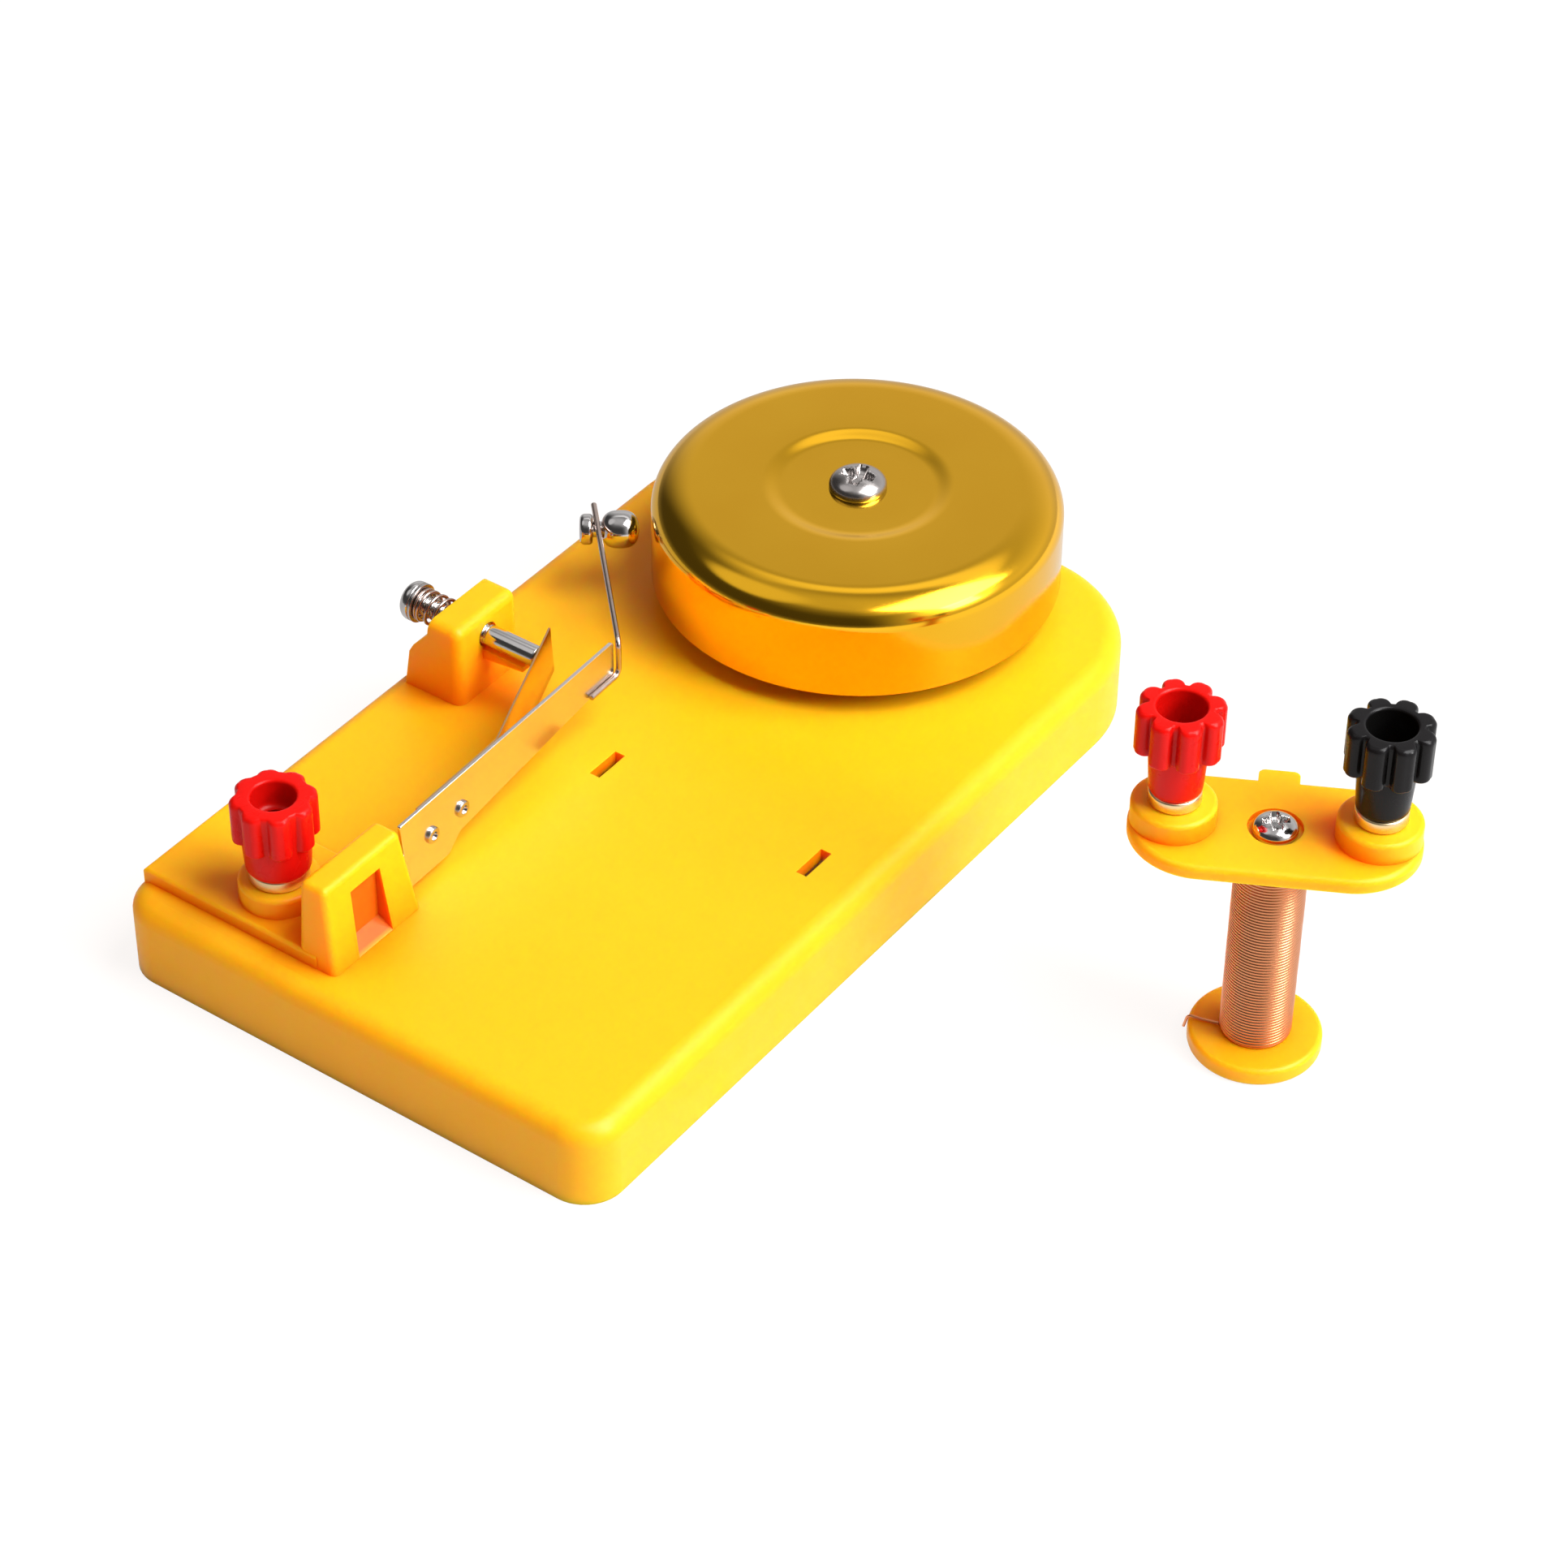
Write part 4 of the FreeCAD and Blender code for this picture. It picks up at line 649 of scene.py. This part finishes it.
def make_contact_spring():
    """The bronze leaf: a thin rounded section carried along the blade's back, round its bend and
    out to the contact screw, where its end is cut at a slant."""
    low, high, start, bend_at, reach = 16.6, 24.8, 4.0, 20.9, 25.35
    bend_radius, slant, edge = 1.5, 1.2, 0.06
    face = BLADE_THICKNESS / 2 + LEAF_THICKNESS / 2
    slope = math.radians(20.0)
    bend = np.array([bend_at, face])
    along = np.array([math.cos(slope), math.sin(slope)])
    path = rounded([(start, face, 0), (*bend, bend_radius), (*(bend + reach * along), 0)], 12)
    path = np.concatenate([path, np.full((len(path), 1), (low + high) / 2)], 1)
    across, thick = (high - low) / 2, LEAF_THICKNESS / 2
    section = rounded([(0, -thick, 0), (across, -thick, edge), (across, thick, edge),
                       (-across, thick, edge), (-across, -thick, edge), (0, -thick, 0)], 3)[:-1]
    points, faces = carried(section, path, np.array([0.0, 0.0, 1.0]))
    height = (points[:, 2] - low) / (high - low)
    near_end = np.clip((points[:, :2] - bend) @ along / reach, 0, 1) ** 4
    points[:, :2] -= (slant * height * near_end)[:, None] * along
    piece("contact_spring", [on_hinge((points, faces))], "armature", "bronze_leaf",
          ["contact_spring"])


def make_rivets():
    """Two hollow rivets: each head is turned, with a dimple in its middle."""
    head = turned(rounded([(0, 0.08, 0), (0.45, 0.08, 0.05), (0.62, 0.5, 0.1), (1.2, 0.44, 0.3),
                           (1.2, -0.05, 0)], 5), 48)
    front, back = -BLADE_THICKNESS / 2, BLADE_THICKNESS / 2 + LEAF_THICKNESS
    shapes = [on_hinge(aimed(head, (station, y, RIVET_Z), (0, way, 0)))
              for station in RIVET_STATIONS for y, way in ((front, -1), (back, 1))]
    piece("armature_rivets", shapes, "armature", "bright_steel", ["armature_rivets"])


def make_hammer():
    """The hammer head: flange, neck and a rounded body, turned about its strike line.  The body is
    a superellipse, r = R (1 - |u|^p)^(1/p) for u from -1 at its back to 1 at its face."""
    flange_radius, flange_end, neck_radius, neck_end, radius, power = 2.15, 1.8, 1.1, 2.9, 2.65, 2.6
    stem = rounded([(0, 0, 0), (flange_radius, 0, 0.7), (flange_radius, flange_end, 0.5),
                    (neck_radius, flange_end, 0.15), (neck_radius, neck_end + 0.05, 0)])
    half_length = (HAMMER_LENGTH - neck_end) / 2
    t = np.linspace(-np.pi / 2, np.pi / 2, 49)
    u = np.sign(t) * abs(np.sin(t)) ** (2 / power)
    r = radius * np.cos(t).clip(0) ** (2 / power)
    body = np.stack([r, neck_end + half_length * (1 + u)], 1)
    line = np.concatenate([stem, body[(r > neck_radius) | (u > 0)]])
    line[-1, 0] = 0
    start = np.array(HAMMER_CENTRE) - np.array(HAMMER_DIRECTION) * HAMMER_LENGTH / 2
    piece("hammer", [aimed(turned(line), start, HAMMER_DIRECTION)], "armature", "bright_chrome",
          ["hammer"], 50)


def make_hammer_wire():
    """The wire: a foot along the blade's end, a rise past it and a straight arm through the
    hammer's neck, which it passes by a few mm."""
    diameter, bend_radius, past_neck = 0.8, 1.2, 4.0
    neck, top = np.array(HAMMER_NECK), np.array(WIRE_TOP)
    arm = (neck - top) / np.linalg.norm(neck - top)
    path = rounded([(*WIRE_FOOT, 0), (*WIRE_BEND, bend_radius), (*top, bend_radius),
                    (*(neck + past_neck * arm), 0)], 10)
    piece("hammer_wire", [round_wire(path, diameter, (0, 1, 0), 24)], "armature", "wire_steel",
          ["hammer_wire"])


# ---- binding posts -----------------------------------------------------------------------------

def cap_shape(height, foot, head, grip, recess):
    """A binding post's cap on z = 0.  Radius by height and angle: a cone, joined by a soft maximum
    to eight ribs.  A rib is a rounded box in plan, met by a ray at an angle from its middle: outer
    face at R / cos, corner where the ray leaves the corner's circle, flank at w / sin.  The ribs
    draw in over the top edge and at their feet."""
    ribs, half_width, corner, grip_height, edge, rib_foot = 8, 1.4, 1.15, 6.4, 0.8, 0.35
    half = np.array([0, 2.5, 5, 7, 9, 10.5, 12, 13, 14, 15, 16, 17, 18, 19.2, 20.4, 21.4, 22.5])
    one = np.concatenate([-half[:0:-1], half[:-1]])
    a = np.radians(np.concatenate([one + k * 360 / ribs for k in range(ribs)]))
    near = np.abs((a + np.pi / ribs) % (2 * np.pi / ribs) - np.pi / ribs)
    x, y = grip / 2 - corner, half_width - corner
    aside = np.clip(corner ** 2 - (x * np.sin(near) - y * np.cos(near)) ** 2, 0, None)
    rib = np.minimum(grip / 2 / np.cos(near), x * np.cos(near) + y * np.sin(near) + aside ** 0.5)
    turn = np.linspace(0, np.pi / 2, 9)
    grip_z = height - grip_height
    foot_z = np.array([0, 0.08, 0.3])
    cone_z = np.linspace(0.7, grip_z - 0.05, 6)
    low_z = grip_z + rib_foot * (1 - np.cos(turn))
    side_z = np.linspace(grip_z + 0.7, height - edge - 0.2, 4)
    top_z = height - edge + edge * np.sin(turn)
    z = np.concatenate([foot_z, cone_z, low_z, side_z, top_z])
    hidden = np.full(len(foot_z) + len(cone_z), 3.0)
    inset = np.concatenate([hidden, rib_foot * (1 - np.sin(turn)), 0 * side_z,
                            edge * (1 - np.cos(turn))])
    cone = (foot + (head - foot) * z / height) / 2
    cone[:3] -= (0.3, 0.1, 0)
    cone[-9:] -= 0.5 * edge * (1 - np.cos(turn))
    r = soft_max(cone[:, None], rib[None] - inset[:, None], 0.5)
    mouth, socket_floor, passage, bush_top, bush_radius = recess / 2, 7.2, 2.25, 6.2, 2.9
    lip = rounded([(mouth + 0.7, height, 0), (mouth, height, 0.45),
                   (mouth - 0.1, socket_floor, 0.9), (passage, socket_floor, 0.2),
                   (passage, bush_top, 0), (bush_radius, bush_top, 0), (bush_radius, 0.0, 0.1),
                   (foot / 2 - 0.3, 0.0, 0)], 7)
    r = np.concatenate([r, np.repeat(lip[:, :1], len(a), 1)])
    points = around(r, a, np.concatenate([z, lip[:, 1]])[:, None])
    return points.reshape(-1, 3), grid_faces(len(points), len(a), True, True)


def make_posts():
    """Each binding post's collar and cap; the base's is short and stout.  Sizes are those of
    cap_shape, and the collar's diameter."""
    stout = (11.2, 8.5, 9.8, 11.2, 5.8), 7.9
    slim = (12.8, 6.7, 8.4, 11.2, 6.2), 6.7
    posts = [("base_post", "base_cap", "base", BASE_POST, "red_plastic", stout, 4),
             ("red_post", "red_cap", "magnet", RED_POST, "red_plastic", slim, 0),
             ("black_post", "black_cap", "magnet", BLACK_POST, "black_plastic", slim, 6)]
    for name, cap_body, body, (x, y, z), plastic, (cap_sizes, collar_size), angle in posts:
        collar = flat_ring(collar_size, 4.2, 0, COLLAR_HEIGHT, 0.35)
        piece(name + "_collar", [standing(collar, x, y, z)], body, "pale_collar",
              [name + "_collar"])
        cap = standing(cap_shape(*cap_sizes), x, y, z + COLLAR_HEIGHT + CAP_SEAT_GAP, angle)
        piece(name + "_cap", [cap], cap_body, plastic, [name + "_cap"], 60)


# ---- electromagnet -----------------------------------------------------------------------------

def on_magnet(shape):
    """Sets a shape from the electromagnet's own axes (z up its core) in place."""
    return standing(shape, *MAGNET_AXIS, 0, MAGNET_TURN)


def make_coil():
    """The winding: one turn's round profile carried up a helix, so height is pitch times (turns
    gone round + place in the turn); its ends are cut level and closed to the tube inside."""
    radius, bore, z0, z1, turns, rows, columns = 4.62, 3.45, 2.7, 33.4, 66, 8, 96
    fullness, end_draw, end_reach = 0.95, 0.12, 0.5
    pitch = (z1 - z0) / turns
    a = np.linspace(0, 2 * np.pi, columns + 1)
    k = np.arange(-1, turns + 1)
    share = np.linspace(0, 1, rows + 1)
    raw = z0 + pitch * (k[:, None, None] + share[None, :, None] + a[None, None] / (2 * np.pi))
    z = np.clip(raw, z0, z1)
    profile = 1 - np.sqrt(1 - (fullness * (2 * share - 1)) ** 2)
    waver = 0.008 * np.sin(z * 0.9 + np.sin(a)) + 0.005 * np.sin(z * 2.3 + 1.3 + np.cos(a))
    r = radius + waver - 0.5 * pitch * profile[None, :, None]
    r -= end_draw * (1 - smooth_step(np.minimum(z - z0, z1 - z) / end_reach))
    points = around(r, a, z)
    quads = grid_faces(rows + 1, columns + 1)
    faces = quads[None] + (np.arange(len(k)) * (rows + 1) * (columns + 1))[:, None, None]
    low, high = (around(bore, a, height) for height in (z0, z1))
    band = grid_faces(2, columns + 1)
    shapes = [(points.reshape(-1, 3), faces.reshape(-1, 4)),
              (np.concatenate([points[0, 0], low]), band),
              (np.concatenate([points[-1, -1], high]), band),
              (np.concatenate([low, high]), band)]
    piece("coil", [on_magnet(shape) for shape in shapes], "magnet", "copper_winding", ["coil"],
          180)


def make_coil_leads():
    """The winding's ends: two under the plate to the tags, one tail over the lower flange."""
    routes = [
        [(4.03, 0.3, 33.7, 0), (4.9, 0.1, 33.72, 0.5), (6.2, 0.0, 33.7, 0)],
        [(-4.03, -0.3, 33.7, 0), (-4.9, -0.1, 33.72, 0.5), (-6.2, 0.0, 33.7, 0)],
        [(-4.60, -0.6, 2.90, 0), (-7.0, -0.1, 2.90, 1.5), (-8.6, 0.3, 3.05, 0.7),
         (-9.05, 0.3, 1.0, 0)],
    ]
    leads = [on_magnet(round_wire(rounded(route, 6), 0.38, (0, 0, 1), 12)) for route in routes]
    piece("coil_leads", leads, "magnet", "copper_winding", ["coil_leads"])


# ---- stage, light and camera -------------------------------------------------------------------

def in_scene(name, data):
    """A new object of the scene that is no piece of the model."""
    made = bpy.data.objects.new(name, data)
    bpy.context.scene.collection.objects.link(made)
    return made


def way_to(azimuth, elevation):
    """The unit vector to an azimuth and an elevation in radians."""
    return Vector((math.cos(elevation) * math.cos(azimuth),
                   math.cos(elevation) * math.sin(azimuth), math.sin(elevation)))


def make_floor():
    """A pale floor, white to the camera, that keeps a soft shadow; mirrored in the metal it is
    brighter on the lamps' side."""
    half, z = 3, -2e-5
    mesh = bpy.data.meshes.new("floor")
    mesh.from_pydata([(-half, -half, z), (half, -half, z), (half, half, z), (-half, half, z)],
                     [], [(0, 1, 2, 3)])
    material = bpy.data.materials.new("pale_floor")
    material.use_nodes = True
    tree = material.node_tree
    tree.nodes.remove(tree.nodes["Principled BSDF"])
    place = node(tree, "ShaderNodeTexCoord").outputs["Object"]
    away = node(tree, "ShaderNodeVectorMath", {0: place}, operation="LENGTH").outputs["Value"]
    across = node(tree, "ShaderNodeSeparateXYZ", {0: place}).outputs["Y"]

    def paint(level):
        """A matt grey."""
        return node(tree, "ShaderNodeBsdfDiffuse", {"Color": (level, level, level, 1)}).outputs[0]

    def glow(strength):
        """White light of a strength."""
        return node(tree, "ShaderNodeEmission", {"Color": (1, 1, 1, 1),
                                                 "Strength": strength}).outputs[0]

    def choose(share, one, other):
        """One surface at share 0, the other at share 1."""
        return node(tree, "ShaderNodeMixShader", {0: share, 1: one, 2: other}).outputs[0]

    shown = node(tree, "ShaderNodeAddShader",
                 {0: paint(0.14), 1: glow(map_range(tree, away, 0.2, 0.9, 0.88, 1.0))})
    mirrored = glow(map_range(tree, across, -0.10, 0.08, 1.15, 0.60))
    unseen = choose(rays(tree, "Glossy"), paint(0.80), mirrored)
    both = choose(rays(tree, "Camera", "Transmission"), unseen, shown.outputs[0])
    tree.links.new(both, tree.nodes["Material Output"].inputs["Surface"])
    mesh.materials.append(material)
    in_scene("floor", mesh)


def make_world():
    """White to the camera, an even pale light on surfaces, and for reflections a studio whose
    walls are bright on one side and dark on the other: by the sine of the height above the
    floor, one ramp for each side, a pale window high on the dark side and a lit screen
    beside the low lamp."""
    world = bpy.data.worlds.new("studio")
    bpy.context.scene.world = world
    world.use_nodes = True
    tree = world.node_tree
    way = node(tree, "ShaderNodeTexCoord").outputs["Generated"]
    height = node(tree, "ShaderNodeSeparateXYZ", {0: way}).outputs["Z"]
    dark = ramp(tree, height, [(0.0, 0.20), (1.0, 0.60), (0.20, 0.06), (0.62, 0.06),
                               (0.75, 0.12), (0.85, 0.22), (0.95, 0.60)])
    bright = ramp(tree, height, [(0.0, 0.60), (1.0, 0.60), (0.12, 0.66), (0.30, 0.80),
                                 (0.50, 0.68), (0.64, 0.56), (0.74, 0.44), (0.80, 1.15),
                                 (0.88, 1.15), (0.915, 0.30), (0.95, 0.30)])
    studio = mix(tree, facing(tree, way, BRIGHT_WALLS, -0.30, 0.30), dark, bright)
    studio = mix(tree, facing(tree, way, PALE_WINDOW, 0.93, 0.975), studio, (0.8, 0.8, 0.8))
    studio = mix(tree, facing(tree, way, LIT_SCREEN, 0.913, 0.961), studio, (1.7, 1.7, 1.7))
    even = mix(tree, rays(tree, "Glossy", "Transmission"), (0.42, 0.20, 0.07), studio)
    seen = mix(tree, rays(tree, "Camera"), even, (1, 1, 1))
    tree.links.new(seen, tree.nodes["Background"].inputs["Color"])


def make_softbox(name, azimuth, elevation, distance, size, power):
    """A square area lamp on a sphere about the object, facing its middle."""
    lamp = bpy.data.lights.new(name, "AREA")
    lamp.shape = "SQUARE"
    lamp.size = size
    lamp.energy = power
    way = way_to(math.radians(azimuth), math.radians(elevation))
    made = in_scene(name, lamp)
    made.location = Vector((0.015, -0.02, 0.015)) + way * distance
    made.rotation_euler = way.to_track_quat("Z", "Y").to_euler()


def make_camera():
    """A long lens above the base's post end, aimed at a point between the base and the magnet,
    with a slight roll."""
    roll = math.radians(CAMERA_ROLL)
    back = way_to(math.radians(CAMERA_AZIMUTH), math.radians(CAMERA_ELEVATION))
    across = Vector((0, 0, 1)).cross(back).normalized()
    up = back.cross(across)
    right = math.cos(roll) * across + math.sin(roll) * up
    top = -math.sin(roll) * across + math.cos(roll) * up
    turn = Matrix((right, top, back)).transposed()
    camera = in_scene("camera", bpy.data.cameras.new("camera"))
    place = Vector(CAMERA_TARGET) * MM + back * CAMERA_DISTANCE * MM
    camera.matrix_world = Matrix.Translation(place) @ turn.to_4x4()
    camera.data.sensor_width = SENSOR_WIDTH
    camera.data.lens = SENSOR_WIDTH * FOCAL_PIXELS / FRAME_PIXELS
    camera.data.clip_start = 0.02
    bpy.context.scene.camera = camera


# ---- the scene ---------------------------------------------------------------------------------

finishes = make_finishes()
dress_solids()
make_gong()
make_screws()
make_screw_washer()
make_screw_spring()
make_blade()
make_contact_spring()
make_rivets()
make_hammer()
make_hammer_wire()
make_posts()
make_coil()
make_coil_leads()
make_floor()
make_world()
make_softbox("key_softbox", azimuth=-72, elevation=57, distance=1.0, size=0.7, power=15.5)
make_softbox("low_softbox", azimuth=-84, elevation=31, distance=1.0, size=0.30, power=4.5)
make_camera()

bpy.context.scene.view_settings.view_transform = "Standard"
